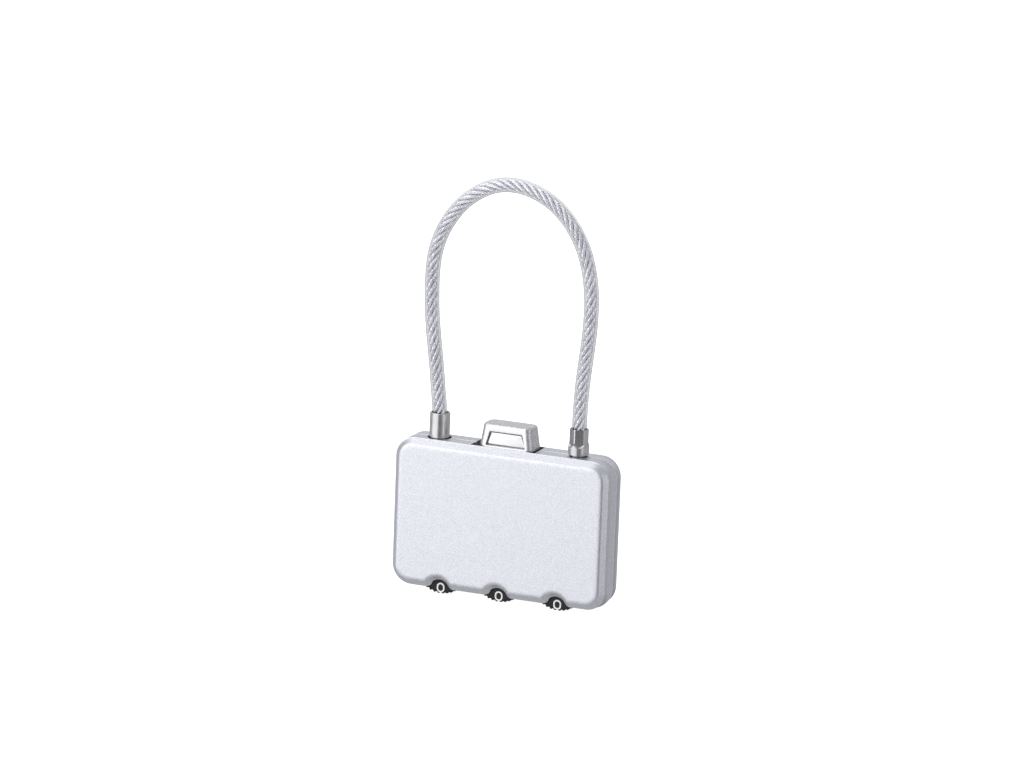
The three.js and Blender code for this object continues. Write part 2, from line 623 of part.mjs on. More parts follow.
function makeSliderScrews() {
  [-SCREW_X, SCREW_X].forEach((x, i) => {
    const shank = barY(x, SCREW_Z, SCREW_SHANK_RADIUS, SCREW_HEAD_FRONT_Y + FIT_GAP,
      PLATE_BACK_Y + FIT_GAP, SMALL_SIDES);
    const head = barY(x, SCREW_Z, SCREW_HEAD_RADIUS, SCREW_HEAD_FRONT_Y, SCREW_HEAD_BACK_Y);
    addPart(`slider_screw_${i + 1}`, shank.add(head), colours.steel);
  });
}

function makeReturnSpring() {
  const coil = coilSolid(RETURN_COIL_RADIUS, RETURN_WIRE_RADIUS, RETURN_TURNS,
    (across, up, share) => new THREE.Vector3(
      THREE.MathUtils.lerp(RETURN_START_X, RETURN_END_X, share), RETURN_Y + across, RETURN_Z + up));
  addPart('slider_return_spring', coil, colours.steel);
}

function makeLatchSpring() {
  const outline = polygon([
    [LATCH_LEFT, LATCH_BOTTOM_Z], [LATCH_RIGHT, LATCH_BOTTOM_Z], [LATCH_RIGHT, LATCH_NOSE_BOTTOM_Z],
    [LATCH_NOSE_X, LATCH_NOSE_BOTTOM_Z], [LATCH_NOSE_X, LATCH_NOSE_TOP_Z],
    [LATCH_LEFT, LATCH_NOSE_TOP_Z],
  ]);
  addPart('latch_spring', slab(outline, -LATCH_HALF_DEPTH, LATCH_HALF_DEPTH), colours.steel);
}

// A turned part about the vertical line through x. The profile is [radius, z] from axis to axis.
function turned(x, profile, sides = ROUND_SIDES) {
  const geometry = new THREE.LatheGeometry(profile.map(([r, z]) => new THREE.Vector2(r, z)), sides);
  geometry.rotateX(Math.PI / 2);
  geometry.translate(x, 0, 0);
  return solidOf(geometry);
}

function makeLockingPin() {
  const body = turned(PIN_X, [
    [0, PIN_TIP_Z], [PIN_RADIUS - PIN_CHAMFER, PIN_TIP_Z], [PIN_RADIUS, PIN_TIP_Z + PIN_CHAMFER],
    [PIN_RADIUS, PIN_GROOVE_BOTTOM_Z], [PIN_GROOVE_RADIUS, PIN_GROOVE_BOTTOM_Z],
    [PIN_GROOVE_RADIUS, PIN_GROOVE_TOP_Z], [PIN_RADIUS, PIN_GROOVE_TOP_Z],
    [PIN_RADIUS, PIN_HEAD_BOTTOM_Z], [PIN_HEAD_RADIUS, PIN_HEAD_BOTTOM_Z],
    [PIN_HEAD_RADIUS, PIN_HEAD_TOP_Z], [0, PIN_HEAD_TOP_Z],
  ]);
  const crimpRadius = CRIMP_ACROSS_FLATS / 2 / Math.cos(Math.PI / CRIMP_SIDES);
  const crimp = barZ(PIN_X, crimpRadius, PIN_HEAD_TOP_Z - JOIN, CRIMP_TOP_Z, CRIMP_SIDES);
  const socket = barZ(PIN_X, CABLE_SOCKET_RADIUS, CABLE_SOCKET_FLOOR_Z, CRIMP_TOP_Z + THROUGH);
  addPart('locking_pin', body.add(crimp).subtract(socket), colours.nickel);
}

function makeSwivelFerrule() {
  const body = turned(FERRULE_X, [
    [0, FERRULE_BOTTOM_Z], [FERRULE_RADIUS, FERRULE_BOTTOM_Z],
    [FERRULE_RADIUS, FERRULE_FLANGE_BOTTOM_Z], [FERRULE_FLANGE_RADIUS, FERRULE_FLANGE_BOTTOM_Z],
    [FERRULE_FLANGE_RADIUS, FERRULE_FLANGE_TOP_Z], [FERRULE_RADIUS, FERRULE_FLANGE_TOP_Z],
    [FERRULE_RADIUS, FERRULE_TOP_Z], [0, FERRULE_TOP_Z],
  ]);
  const socket = barZ(FERRULE_X, CABLE_SOCKET_RADIUS, CABLE_SOCKET_FLOOR_Z, FERRULE_TOP_Z + THROUGH);
  addPart('swivel_ferrule', body.subtract(socket), colours.nickel);
}

function makeCable() {
  const points = CABLE_ROUTE.map(([x, z]) => new THREE.Vector3(x, 0, z));
  addPart('cable_sheath',
    tubeSolid(points, SHEATH_RADIUS, CABLE_SIDES, CABLE_STEPS, SHEATH_BORE_RADIUS), colours.sheath);
  addPart('cable_core', tubeSolid(points, ROPE_RADIUS, CABLE_SIDES, CABLE_STEPS), colours.steel);
}

makeFrontCover();
makeBackCover();
makeCaseRivets();
DIAL_CENTRES.forEach((x, i) => makeDialStack(x, i + 1));
makeDetentSpring();
makeHandle();
makeSliderPlate();
makeSliderScrews();
makeReturnSpring();
makeLatchSpring();
makeLockingPin();
makeSwivelFerrule();
makeCable();

lock.position.set(-CROWN_X, 0, SHEATH_RADIUS - CROWN_Z);
const part = new THREE.Group();
part.add(lock);

export default part;
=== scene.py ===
"""Looks of a suitcase-shaped combination padlock with a cable shackle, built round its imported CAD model.

Shapes are written in millimetres in the case's own frame: x to the right from the case's middle,
y to the back from its middle plane, z up from its bottom edge. place() turns them into the row frame.
"""

import math

import bmesh
import bpy
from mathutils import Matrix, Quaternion, Vector


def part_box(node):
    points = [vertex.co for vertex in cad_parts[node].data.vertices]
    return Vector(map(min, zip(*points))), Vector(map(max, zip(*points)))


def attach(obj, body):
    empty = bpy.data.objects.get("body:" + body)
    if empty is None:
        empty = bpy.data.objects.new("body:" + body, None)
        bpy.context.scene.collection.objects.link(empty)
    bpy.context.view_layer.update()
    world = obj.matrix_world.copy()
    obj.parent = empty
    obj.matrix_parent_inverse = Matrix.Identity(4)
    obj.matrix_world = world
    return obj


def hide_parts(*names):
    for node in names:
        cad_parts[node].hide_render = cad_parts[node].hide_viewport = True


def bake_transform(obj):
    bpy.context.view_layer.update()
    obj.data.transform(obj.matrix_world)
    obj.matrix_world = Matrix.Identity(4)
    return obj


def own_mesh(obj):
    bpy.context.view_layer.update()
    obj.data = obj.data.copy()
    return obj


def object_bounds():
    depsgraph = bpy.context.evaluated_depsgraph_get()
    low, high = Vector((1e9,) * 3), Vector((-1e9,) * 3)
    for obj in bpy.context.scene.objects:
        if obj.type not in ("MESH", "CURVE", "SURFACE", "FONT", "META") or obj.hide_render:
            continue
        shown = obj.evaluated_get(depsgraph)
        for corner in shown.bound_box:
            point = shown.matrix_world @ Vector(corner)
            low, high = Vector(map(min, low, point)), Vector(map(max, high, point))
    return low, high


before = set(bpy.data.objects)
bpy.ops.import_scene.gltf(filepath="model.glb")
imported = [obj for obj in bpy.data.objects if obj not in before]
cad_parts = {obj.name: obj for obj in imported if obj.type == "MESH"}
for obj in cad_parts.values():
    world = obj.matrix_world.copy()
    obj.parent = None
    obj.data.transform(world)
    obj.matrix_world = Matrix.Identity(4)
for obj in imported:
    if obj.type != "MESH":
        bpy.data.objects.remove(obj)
cad_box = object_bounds()

MM = 0.001

# Case, as in the CAD: two halves that meet at y = 0, each with a sloping band round its flat face.
cover_low, cover_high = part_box("front_cover")
CASE_X = (cover_low.x + cover_high.x) / 2
CASE_HEIGHT = (cover_high.z - cover_low.z) / MM
CASE_WIDTH = 54
CASE_CORNER = 4.8
RIDGE_Y = 3.5
FACE_Y = -cover_low.y / MM
BAND_INSET = 1.4
SEAM_SWELL = (cover_high.x - cover_low.x) / MM / 2 - CASE_WIDTH / 2
WALL = 1.5
INNER_FACE_Y = 3.7
# How far a tool runs past what it cuts, how deep a joined shape reaches into its neighbour, the gap
# round a fastener in its hole, and the gap that a shape on one half keeps to the meeting plane.
THROUGH = 1
JOIN = 0.75
FIT_GAP = 0.3
SPLIT_GAP = 0.1


def place(x, y, z):
    """A point of the case's frame, in millimetres, as a point of the row frame, in metres."""
    return Vector((CASE_X + x * MM, y * MM, cover_low.z + z * MM))


def middle(node):
    """A CAD node's middle in the case's frame, in millimetres."""
    low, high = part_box(node)
    centre = (low + high) / 2
    return Vector(((centre.x - CASE_X) / MM, centre.y / MM, (centre.z - cover_low.z) / MM))


# Dials and the arched windows over them.
DIAL_NUMBERS = (1, 2, 3)
DIAL_X = {number: middle(f"dial_{number}").x for number in DIAL_NUMBERS}
DIAL_CENTRE_Z = 5.5
DIAL_TIP_RADIUS = 7.0
DIAL_ROOT_RADIUS = 6.7
DIAL_TEETH = 40
DIAL_FRONT_Y = -2.7
DIAL_BACK_Y = -0.5
DIAL_BORE_RADIUS = 2.6
DIAL_FACE_RADIUS = 6.1
# The chamfer on the teeth: how far they draw in, and how deep that is below the dial's face.
DIAL_CHAMFER = [(0.15, 0.0), (0.04, 0.05), (0.0, 0.16)]
POINTS_PER_TOOTH = 8
DIGIT_HALF_HIGH = 0.99
DIGIT_HALF_WIDE = 0.98
DIGIT_CENTRE_RADIUS = 5.54
DIGIT_STROKE_HALF = 0.19
DIGIT_RELIEF = 0.04
POCKET_RADIUS = 7.5
POCKET_Y = -3.0
ARCH_RADIUS = 2.6
ARCH_CENTRE_Z = -0.45
ARCH_FOOT_RADIUS = 1.5
ARCH_BAND = 1.1
POST_RADIUS = 1.0
POST_FRONT_Y = -3.3
POST_BACK_Y = 4.1

# Handle, with its half width and half depth at the foot and at the crown.
HANDLE_X = 0.35
HANDLE_FOOT_Z = 35.2
HANDLE_TOP_Z = 41.0
HANDLE_FOOT = (6.88, 3.15)
HANDLE_CROWN = (6.12, 2.77)
HANDLE_CORNER = 1.6
HANDLE_RIM = 0.45
HANDLE_EDGE = 0.08
PANEL_LOW_Z = 35.95
PANEL_HIGH_Z = 39.3
PANEL_LOW_HALF = 4.9
PANEL_HIGH_HALF = 4.15
PANEL_CORNER = 0.35
# The panel's recess and the pad in it, as levels of (distance from the middle, growth of the outline).
PANEL_RECESS = [(1.45, 0.0), (4.5, 0.1)]
PANEL_PAD = [(1.0, -0.26), (2.38, -0.29), (2.46, -0.34)]
STEM_HALF_WIDTH = 5.9
STEM_HALF_DEPTH = 2.6
FLANGE_X = (-9.2, 9.4)
FLANGE_HALF_DEPTH = 2.9
FLANGE_BOTTOM_Z = 32.1
FLANGE_TOP_Z = 33.7
TONGUE_X = (-5, 5)
TONGUE_Y = (0.9, 1.9)
TONGUE_BOTTOM_Z = 26.9
PLATE_HOLE_X = (-3, 3)
PLATE_HOLE_Z = 29
PLATE_HOLE_RADIUS = 1.0

# Openings in the case's top wall, and the shapes inside the case that hold the springs.
SLOT_LEFT = -8.3
SLOT_RIGHT = 7.8
SLOT_HALF_DEPTH = 3.35
LATCH_SEAT_X = (13.0, 15.3)
LATCH_SEAT_Z = (18.0, 21.4)
LATCH_SEAT_Y = -1.6
LEAF_SLOT_X = (13.7, 14.6)
LEAF_SLOT_Z = (19.1, 22.4)
LEAF_SLOT_HALF_DEPTH = 1.3
SPRING_STOP_X = (-15.2, -14.1)
SPRING_STOP_Z = (20.4, 23.6)
SPRING_STOP_Y = -1.2

# Cable ends. The right one is pressed to six flats above, which end in rounded lips over a round head.
PIN_X = 17.5
PIN_HOLE_RADIUS = 2.1
FERRULE_X = -17.6
FERRULE_HOLE_RADIUS = 2.9
GUIDE_LEFT = 14.8
GUIDE_RIGHT = 20.2
GUIDE_BOTTOM = 30.5
HEAD_RADIUS = 2.45
HEAD_FOOT_Z = 36.05
HEAD_TOP_Z = 42.0
HEAD_BORE_RADIUS = 1.82
CRIMP_TURN_DEG = 37.8
CRIMP_FLAT_RADIUS = 1.98
CRIMP_CORNER_RADIUS = 2.22
CRIMP_LIP_Z = 38.0
CRIMP_LIP_RISE = 0.6
CRIMP_LIP_SLOPE = 2.2
CRIMP_SHOULDER_Z = (38.4, 38.9)

# Case rivets.
RIVET_PLACES = [(x, z) for x in (-23.5, 23.5) for z in (3.7, 31.7)]
RIVET_RADIUS = 0.8
RIVET_HEAD_RADIUS = 1.4
RIVET_HEAD_DEPTH = 0.55
RIVET_FRONT_Y = -3.0
RIVET_SINK_GAP = 0.15
BOSS_RADIUS = 1.9

# Cable: a clear sheath over six strands laid round a seventh, each of them six wires.
SHEATH_RADIUS = 1.74
SHEATH_BORE_RADIUS = 1.5
STRAND_COUNT = 6
STRAND_RADIUS = 0.455
LAY_RADIUS = 2.05 * STRAND_RADIUS
STRAND_LAY = 13.4
WIRE_LAY = 7.0
ROPE_STEP = 0.43
SHEATH_STEP = 1.0
SHEATH_SIDES = 32
CABLE_ROUTE = [
    (-17.6, 37.6), (-17.65, 40.5), (-17.95, 43.8), (-18.4, 47.5), (-18.9, 52.0), (-19.5, 56.5),
    (-20.1, 61.0), (-20.55, 65.5), (-20.75, 70.0), (-20.75, 74.5), (-20.35, 78.8), (-19.25, 83.0),
    (-17.35, 87.0), (-14.6, 90.9), (-11.2, 94.0), (-7.2, 96.3), (-2.9, 97.4), (1.5, 97.2),
    (5.7, 95.9), (9.4, 93.8), (12.6, 90.9), (15.2, 87.3), (17.1, 83.4), (18.35, 79.2),
    (19.05, 74.8), (19.25, 70.2), (19.1, 65.6), (18.7, 61.0), (18.25, 56.7), (17.85, 52.4),
    (17.6, 48.2), (17.5, 44.6), (17.5, 41.0), (17.5, 37.6),
]


# ---------------------------------------------------------------- mesh helpers

def piece(name, points, faces, material, sharp_deg=32):
    """A mesh object from points in the case's frame. Edges that turn more than sharp_deg stay sharp."""
    mesh = bpy.data.meshes.new(name)
    mesh.from_pydata([place(*p) for p in points], [], faces)
    mesh.materials.append(material)
    made = bpy.data.objects.new(name, mesh)
    bpy.context.scene.collection.objects.link(made)
    sharpen(made, sharp_deg)
    return made


def sharpen(made, sharp_deg):
    """Smooth shading that breaks at every edge over sharp_deg."""
    work = bmesh.new()
    work.from_mesh(made.data)
    bmesh.ops.recalc_face_normals(work, faces=work.faces)
    for face in work.faces:
        face.smooth = True
    for edge in work.edges:
        edge.smooth = len(edge.link_faces) == 2 and edge.calc_face_angle() < math.radians(sharp_deg)
    work.to_mesh(made.data)
    work.free()


def arc(x, z, radius, start_deg, end_deg, steps, radius_z=None):
    """Points on a circle or an ellipse, both ends included."""
    tall = radius if radius_z is None else radius_z
    turned = [math.radians(start_deg + (end_deg - start_deg) * i / steps) for i in range(steps + 1)]
    return [(x + radius * math.cos(a), z + tall * math.sin(a)) for a in turned]


def loft(rings, closed_ends=True):
    """Points and faces through rings with equal point counts. Closed ends are filled flat."""
    count = len(rings[0])
    points = [p for ring in rings for p in ring]
    faces = []
    for r in range(len(rings) - 1):
        for i in range(count):
            j = (i + 1) % count
            faces.append((r * count + i, r * count + j, (r + 1) * count + j, (r + 1) * count + i))
    if closed_ends:
        last = (len(rings) - 1) * count
        faces.append(tuple(range(count)))
        faces.append(tuple(last + i for i in range(count)))
    return points, faces


def joined_rings(rings):
    """As loft, with the last ring joined to the first, as in a turned ring or a tube with a bore."""
    points, faces = loft(rings, closed_ends=False)
    count = len(rings[0])
    last = (len(rings) - 1) * count
    for i in range(count):
        j = (i + 1) % count
        faces.append((last + i, last + j, j, i))
    return points, faces


def facing(outline, y):
    return [(x, y, z) for x, z in outline]


def round_outline(x, z, radius, sides=48):
    return arc(x, z, radius, 0, 360 - 360 / sides, sides - 1)


def bar_y(name, x, z, radius, front, back, sides=48, material=None):
    """A round tool along Y. What it cuts or adds takes its material, which is the case's unless given."""
    outline = round_outline(x, z, radius, sides)
    return piece(name, *loft([facing(outline, front), facing(outline, back)]), material or case_silver)


def bar_z(name, x, radius, bottom, top, material, sides=64):
    """A round tool along Z, on the case's middle plane."""
    outline = round_outline(x, 0, radius, sides)
    rings = [[(px, py, z) for px, py in outline] for z in (bottom, top)]
    return piece(name, *loft(rings), material)


def block(name, x, y, z, material=None):
    """A box tool between two limits on each axis."""
    outline = [(x[0], z[0]), (x[1], z[0]), (x[1], z[1]), (x[0], z[1])]
    return piece(name, *loft([facing(outline, y[0]), facing(outline, y[1])]), material or case_silver)


def combine(target, tools, operation, sharp_deg=32):
    """Cuts the tools from the target or joins them to it, and deletes them."""
    for tool in tools:
        modifier = target.modifiers.new("combine", "BOOLEAN")
        modifier.operation = operation
        modifier.solver = "MANIFOLD"
        modifier.object = tool
    bpy.context.view_layer.update()
    shown = target.evaluated_get(bpy.context.evaluated_depsgraph_get())
    mesh = bpy.data.meshes.new_from_object(shown)
    target.modifiers.clear()
    target.data = mesh
    for tool in tools:
        bpy.data.objects.remove(tool)
    sharpen(target, sharp_deg)


# ---------------------------------------------------------------- material helpers

def shader(name, colour, metallic, roughness, **values):
    """A Principled material. values are more of the shader's own uniform sockets."""
    material = bpy.data.materials.new(name)
    material.use_nodes = True
    principled = material.node_tree.nodes["Principled BSDF"]
    principled.inputs["Base Color"].default_value = (*colour, 1)
    principled.inputs["Metallic"].default_value = metallic
    principled.inputs["Roughness"].default_value = roughness
    for socket, value in values.items():
        principled.inputs[socket.replace("_", " ")].default_value = value
    return material


def node(material, kind, values=None, links=None, **settings):
    """A shader node with its settings, its input values and its incoming links."""
    made = material.node_tree.nodes.new(kind)
    for key, value in settings.items():
        setattr(made, key, value)
    for socket, value in (values or {}).items():
        made.inputs[socket].default_value = value
    for socket, source in (links or {}).items():
        material.node_tree.links.new(source, made.inputs[socket])
    return made


def principled_of(material):
    return material.node_tree.nodes["Principled BSDF"]


def link(material, source, socket):
    material.node_tree.links.new(source, principled_of(material).inputs[socket])


def object_noise(material, size_mm, detail=2.0, stretch=(1, 1, 1)):
    """Noise in the object's own coordinates, with spots about size_mm across."""
    coordinates = node(material, "ShaderNodeTexCoord")
    mapping = node(material, "ShaderNodeMapping", {"Scale": stretch},
                   {"Vector": coordinates.outputs["Object"]})
    return node(material, "ShaderNodeTexNoise", {"Scale": 1 / (size_mm * MM), "Detail": detail},
                {"Vector": mapping.outputs["Vector"]}).outputs["Fac"]


def spread_of(material, source, low, high, from_low=0.3, from_high=0.7):
    """A 0 to 1 texture taken to the range low to high."""
    return node(material, "ShaderNodeMapRange",
                {"From Min": from_low, "From Max": from_high, "To Min": low, "To Max": high},
                {"Value": source}).outputs["Result"]


def scaled(colour, share):
    return tuple(channel * share for channel in colour)


def mixed(material, factor, first, second):
    """The first colour where the factor is 0 and the second where it is 1. Each is a colour or a socket."""
    mix = node(material, "ShaderNodeMix", data_type="RGBA")
    ends = [socket for socket in mix.inputs if socket.type == "RGBA"]
    for end, colour in zip(ends, (first, second)):
        if isinstance(colour, bpy.types.NodeSocket):
            material.node_tree.links.new(colour, end)
        else:
            end.default_value = (*colour, 1)
    material.node_tree.links.new(factor, mix.inputs[0])
    return next(socket for socket in mix.outputs if socket.type == "RGBA")


def bumped(material, height, depth_mm, strength=1.0):
    """Relief of that height texture, depth_mm deep."""
    return node(material, "ShaderNodeBump", {"Strength": strength, "Distance": depth_mm * MM},
                {"Height": height}).outputs["Normal"]


def edge_mask(material, radius_mm):
    """About 1 on outside edges and 0 on open faces."""
    bevel = node(material, "ShaderNodeBevel", {"Radius": radius_mm * MM}, samples=4)
    geometry = node(material, "ShaderNodeNewGeometry")
    dot = node(material, "ShaderNodeVectorMath", operation="DOT_PRODUCT",
               links={0: bevel.outputs["Normal"], 1: geometry.outputs["Normal"]})
    return spread_of(material, dot.outputs["Value"], 1, 0, 0.86, 0.985)


# ---------------------------------------------------------------- materials

# Painted shade: near black, given to the walls of the case's slots and holes and to parts below the case's
# top, where shade falls inside the case.
PAINTED_GAP_SHADE = (0.05, 0.05, 0.055)


def split_coordinates(material, kind):
    """The X, Y and Z of one of the object's own coordinates."""
    coordinates = node(material, "ShaderNodeTexCoord").outputs[kind]
    return node(material, "ShaderNodeSeparateXYZ", links={"Vector": coordinates}).outputs


def painted_shade_below(material, colour, height_mm):
    """The colour above that height in the case's frame, and painted shade, near black, in the slots and holes
    below.
    """
    level = cover_low.z + height_mm * MM
    share = spread_of(material, split_coordinates(material, "Object")["Z"], 1, 0, level - 0.3 * MM, level)
    return mixed(material, share, colour, PAINTED_GAP_SHADE)


def off_the_flats(material, start, full):
    """0 where the surface faces front or back, and 1 once it has turned away from there."""
    depth = node(material, "ShaderNodeMath", links={0: split_coordinates(material, "Normal")["Y"]},
                 operation="ABSOLUTE")
    return spread_of(material, depth.outputs[0], 0, 1, start, full)


def make_casting(name, colour, edge_colour, roughness, grain_mm, grain_depth, relief_mm, painted_shade_below_mm=None,
                 side_shade_colour=None):
    """Zinc casting with a sprayed satin silver finish: fine grain, and edges rubbed brighter.

    Wherever the surface faces neither front nor back, a second colour paints shade on it, speckled with the
    casting's own grain.
    """
    material = shader(name, colour, 0.9, roughness)
    fine = object_noise(material, grain_mm, 0.5)
    coarse = object_noise(material, grain_mm * 5, 1)
    grain = spread_of(material, fine, 0, 1, 0.38, 0.62)
    tone = mixed(material, grain, scaled(colour, 1 - grain_depth), colour)
    painted = mixed(material, edge_mask(material, 0.25), tone, edge_colour)
    # Painted shade on the sides and top, with the grain's speckle in it.
    if side_shade_colour is not None:
        speckle = mixed(material, grain, scaled(side_shade_colour, 0.72), side_shade_colour)
        painted = mixed(material, off_the_flats(material, 0.97, 0.93), painted, speckle)
    # Painted shade: near black below that height, in the case's slot and holes.
    if painted_shade_below_mm is not None:
        painted = painted_shade_below(material, painted, painted_shade_below_mm)
    link(material, painted, "Base Color")
    link(material, spread_of(material, coarse, roughness - 0.02, roughness + 0.03), "Roughness")
    link(material, bumped(material, fine, relief_mm), "Normal")
    return material


def make_plated(name, colour, roughness, stretch=(1, 1, 1), scratch_mm=0.5, painted_shade_below_mm=None):
    """Plated or bare metal with faint lengthwise tool marks and uneven shine."""
    material = shader(name, colour, 1.0, roughness)
    marks = object_noise(material, scratch_mm, 4, stretch)
    stain = object_noise(material, 2.5, 2)
    metal = mixed(material, spread_of(material, stain, 0, 1), scaled(colour, 0.86), colour)
    # Painted shade: near black below that height, where the part sits inside the case.
    if painted_shade_below_mm is not None:
        metal = painted_shade_below(material, metal, painted_shade_below_mm)
    link(material, metal, "Base Color")
    link(material, spread_of(material, marks, roughness * 0.75, roughness * 1.35), "Roughness")
    link(material, bumped(material, marks, 0.02, 0.6), "Normal")
    return material


def make_dial_plastic():
    """Black moulded plastic: a fine matt texture with lighter worn edges."""
    black = (0.018, 0.018, 0.02)
    material = shader("dial_black", black, 0.0, 0.5, Specular_IOR_Level=0.3)
    fine = object_noise(material, 0.2, 3)
    link(material, mixed(material, edge_mask(material, 0.15), black, (0.06, 0.06, 0.065)), "Base Color")
    link(material, spread_of(material, fine, 0.34, 0.55), "Roughness")
    link(material, bumped(material, fine, 0.02), "Normal")
    return material


def make_digit_paint():
    """White ink, slightly uneven, with a faint painted glow that makes it brighter than the lamps light it.
    """
    material = shader("digit_white", (0.95, 0.95, 0.94), 0.0, 0.5, Emission_Strength=0.15)
    principled_of(material).inputs["Emission Color"].default_value = (1, 1, 1, 1)
    fine = object_noise(material, 0.15, 2)
    ink = mixed(material, spread_of(material, fine, 0, 1), (0.88, 0.88, 0.87), (0.98, 0.98, 0.97))
    link(material, ink, "Base Color")
    link(material, spread_of(material, fine, 0.42, 0.6), "Roughness")
    return material


def make_clear_plastic():
    """Clear soft vinyl with a faint ripple."""
    material = shader("clear_sheath", (0.93, 0.935, 0.96), 0.0, 0.05, Transmission_Weight=1.0, IOR=1.42)
    ripple = object_noise(material, 2.2, 2)
    link(material, bumped(material, ripple, 0.05, 0.5), "Normal")
    link(material, spread_of(material, ripple, 0.02, 0.07), "Roughness")
    return material


case_silver = make_casting("case_silver", (0.855, 0.865, 0.925), (0.95, 0.95, 0.97), roughness=0.36,
                           grain_mm=0.17, grain_depth=0.25, relief_mm=0.03)
# Painted shade: the handle turns near black below the case's top, and darker on its sides and top than on its
# front and back.
handle_silver = make_casting("handle_silver", (0.94, 0.94, 0.955), (0.97, 0.97, 0.98), roughness=0.33,
                             grain_mm=0.3, grain_depth=0.07, relief_mm=0.01, painted_shade_below_mm=CASE_HEIGHT,
                             side_shade_colour=(0.84, 0.84, 0.86))
# Painted shade: near black on the walls of the slot and holes in the case's top.
shaded_cut_wall = make_plated("shaded_cut_wall", PAINTED_GAP_SHADE, 0.55)
# Painted shade: both cable ends turn near black below the case's top.
nickel = make_plated("nickel", (0.68, 0.68, 0.69), 0.27, stretch=(1, 1, 0.06), scratch_mm=0.22,
                     painted_shade_below_mm=CASE_HEIGHT + 0.15)
rope_steel = make_plated("rope_steel", (0.91, 0.91, 0.93), 0.24, scratch_mm=0.8)
zinc_steel = make_plated("zinc_steel", (0.62, 0.63, 0.66), 0.34)
spring_steel = make_plated("spring_steel", (0.5, 0.5, 0.52), 0.28)
ring_brass = make_plated("ring_brass", (0.72, 0.54, 0.27), 0.3)
dial_black = make_dial_plastic()
digit_white = make_digit_paint()
clear_sheath = make_clear_plastic()


# ---------------------------------------------------------------- camera, floor and light

CAMERA_TARGET = Vector((0.000512, 0.004681, -0.046365))
CAMERA_DISTANCE = 1.37288
CAMERA_AZIMUTH = math.radians(22.183)
CAMERA_ELEVATION = math.radians(13.420)
CAMERA_ROLL = math.radians(2.185)
CAMERA_LENS = 206.93


def make_camera():
    level = math.cos(CAMERA_ELEVATION)
    back = Vector((math.sin(CAMERA_AZIMUTH) * level, -math.cos(CAMERA_AZIMUTH) * level,
                   math.sin(CAMERA_ELEVATION)))
    camera = bpy.data.objects.new("camera", bpy.data.cameras.new("camera"))
    camera.data.lens = CAMERA_LENS
    camera.data.sensor_width = 36
    camera.data.clip_start = 0.01
    camera.data.clip_end = 50
    camera.rotation_mode = "QUATERNION"
    camera.location = CAMERA_TARGET + back * CAMERA_DISTANCE
    roll = Quaternion((0, 0, 1), CAMERA_ROLL)
    camera.rotation_quaternion = (-back).to_track_quat("-Z", "Y") @ roll
    bpy.context.scene.collection.objects.link(camera)
    bpy.context.scene.camera = camera


def make_light(name, direction, size, radiance, distance=0.6):
    """A soft rectangular light that looks at the object from that direction."""
    aim = Vector(direction).normalized()
    lamp = bpy.data.objects.new(name, bpy.data.lights.new(name, "AREA"))
    lamp.data.shape = "RECTANGLE"
    lamp.data.size = size[0]
    lamp.data.size_y = size[1]
    lamp.data.energy = radiance * math.pi * size[0] * size[1]
    lamp.visible_camera = False
    lamp.location = CAMERA_TARGET + aim * distance
    lamp.rotation_mode = "QUATERNION"
    lamp.rotation_quaternion = aim.to_track_quat("Z", "Y")
    bpy.context.scene.collection.objects.link(lamp)


ROOM_LEVEL = 0.48
# Darker parts of the room: direction, where the shade starts (a cosine) and how deep it gets.
ROOM_SHADES = [((0.37, -0.9, -0.2), 0.86, 0.34), ((-0.15, 0.88, -0.45), 0.88, 0.36)]
SHEATH_CLARITY = 0.72
SHEATH_GLOW = 0.32


def make_floor():
    """A white sweep under the object, nearly without shadow."""
    level = cad_box[0].z
    reach = 20
    mesh = bpy.data.meshes.new("floor")
    mesh.from_pydata([(-reach, -reach, level), (reach, -reach, level), (reach, reach, level),
                      (-reach, reach, level)], [], [(0, 1, 2, 3)])
    floor = bpy.data.objects.new("floor", mesh)
    material = shader("floor_white", (0.9, 0.9, 0.9), 0.0, 0.9, Emission_Strength=0.9)
    principled_of(material).inputs["Emission Color"].default_value = (1, 1, 1, 1)
    mesh.materials.append(material)
    bpy.context.scene.collection.objects.link(floor)
    for kind in ("diffuse", "glossy", "transmission", "shadow"):
        setattr(floor, f"visible_{kind}", False)


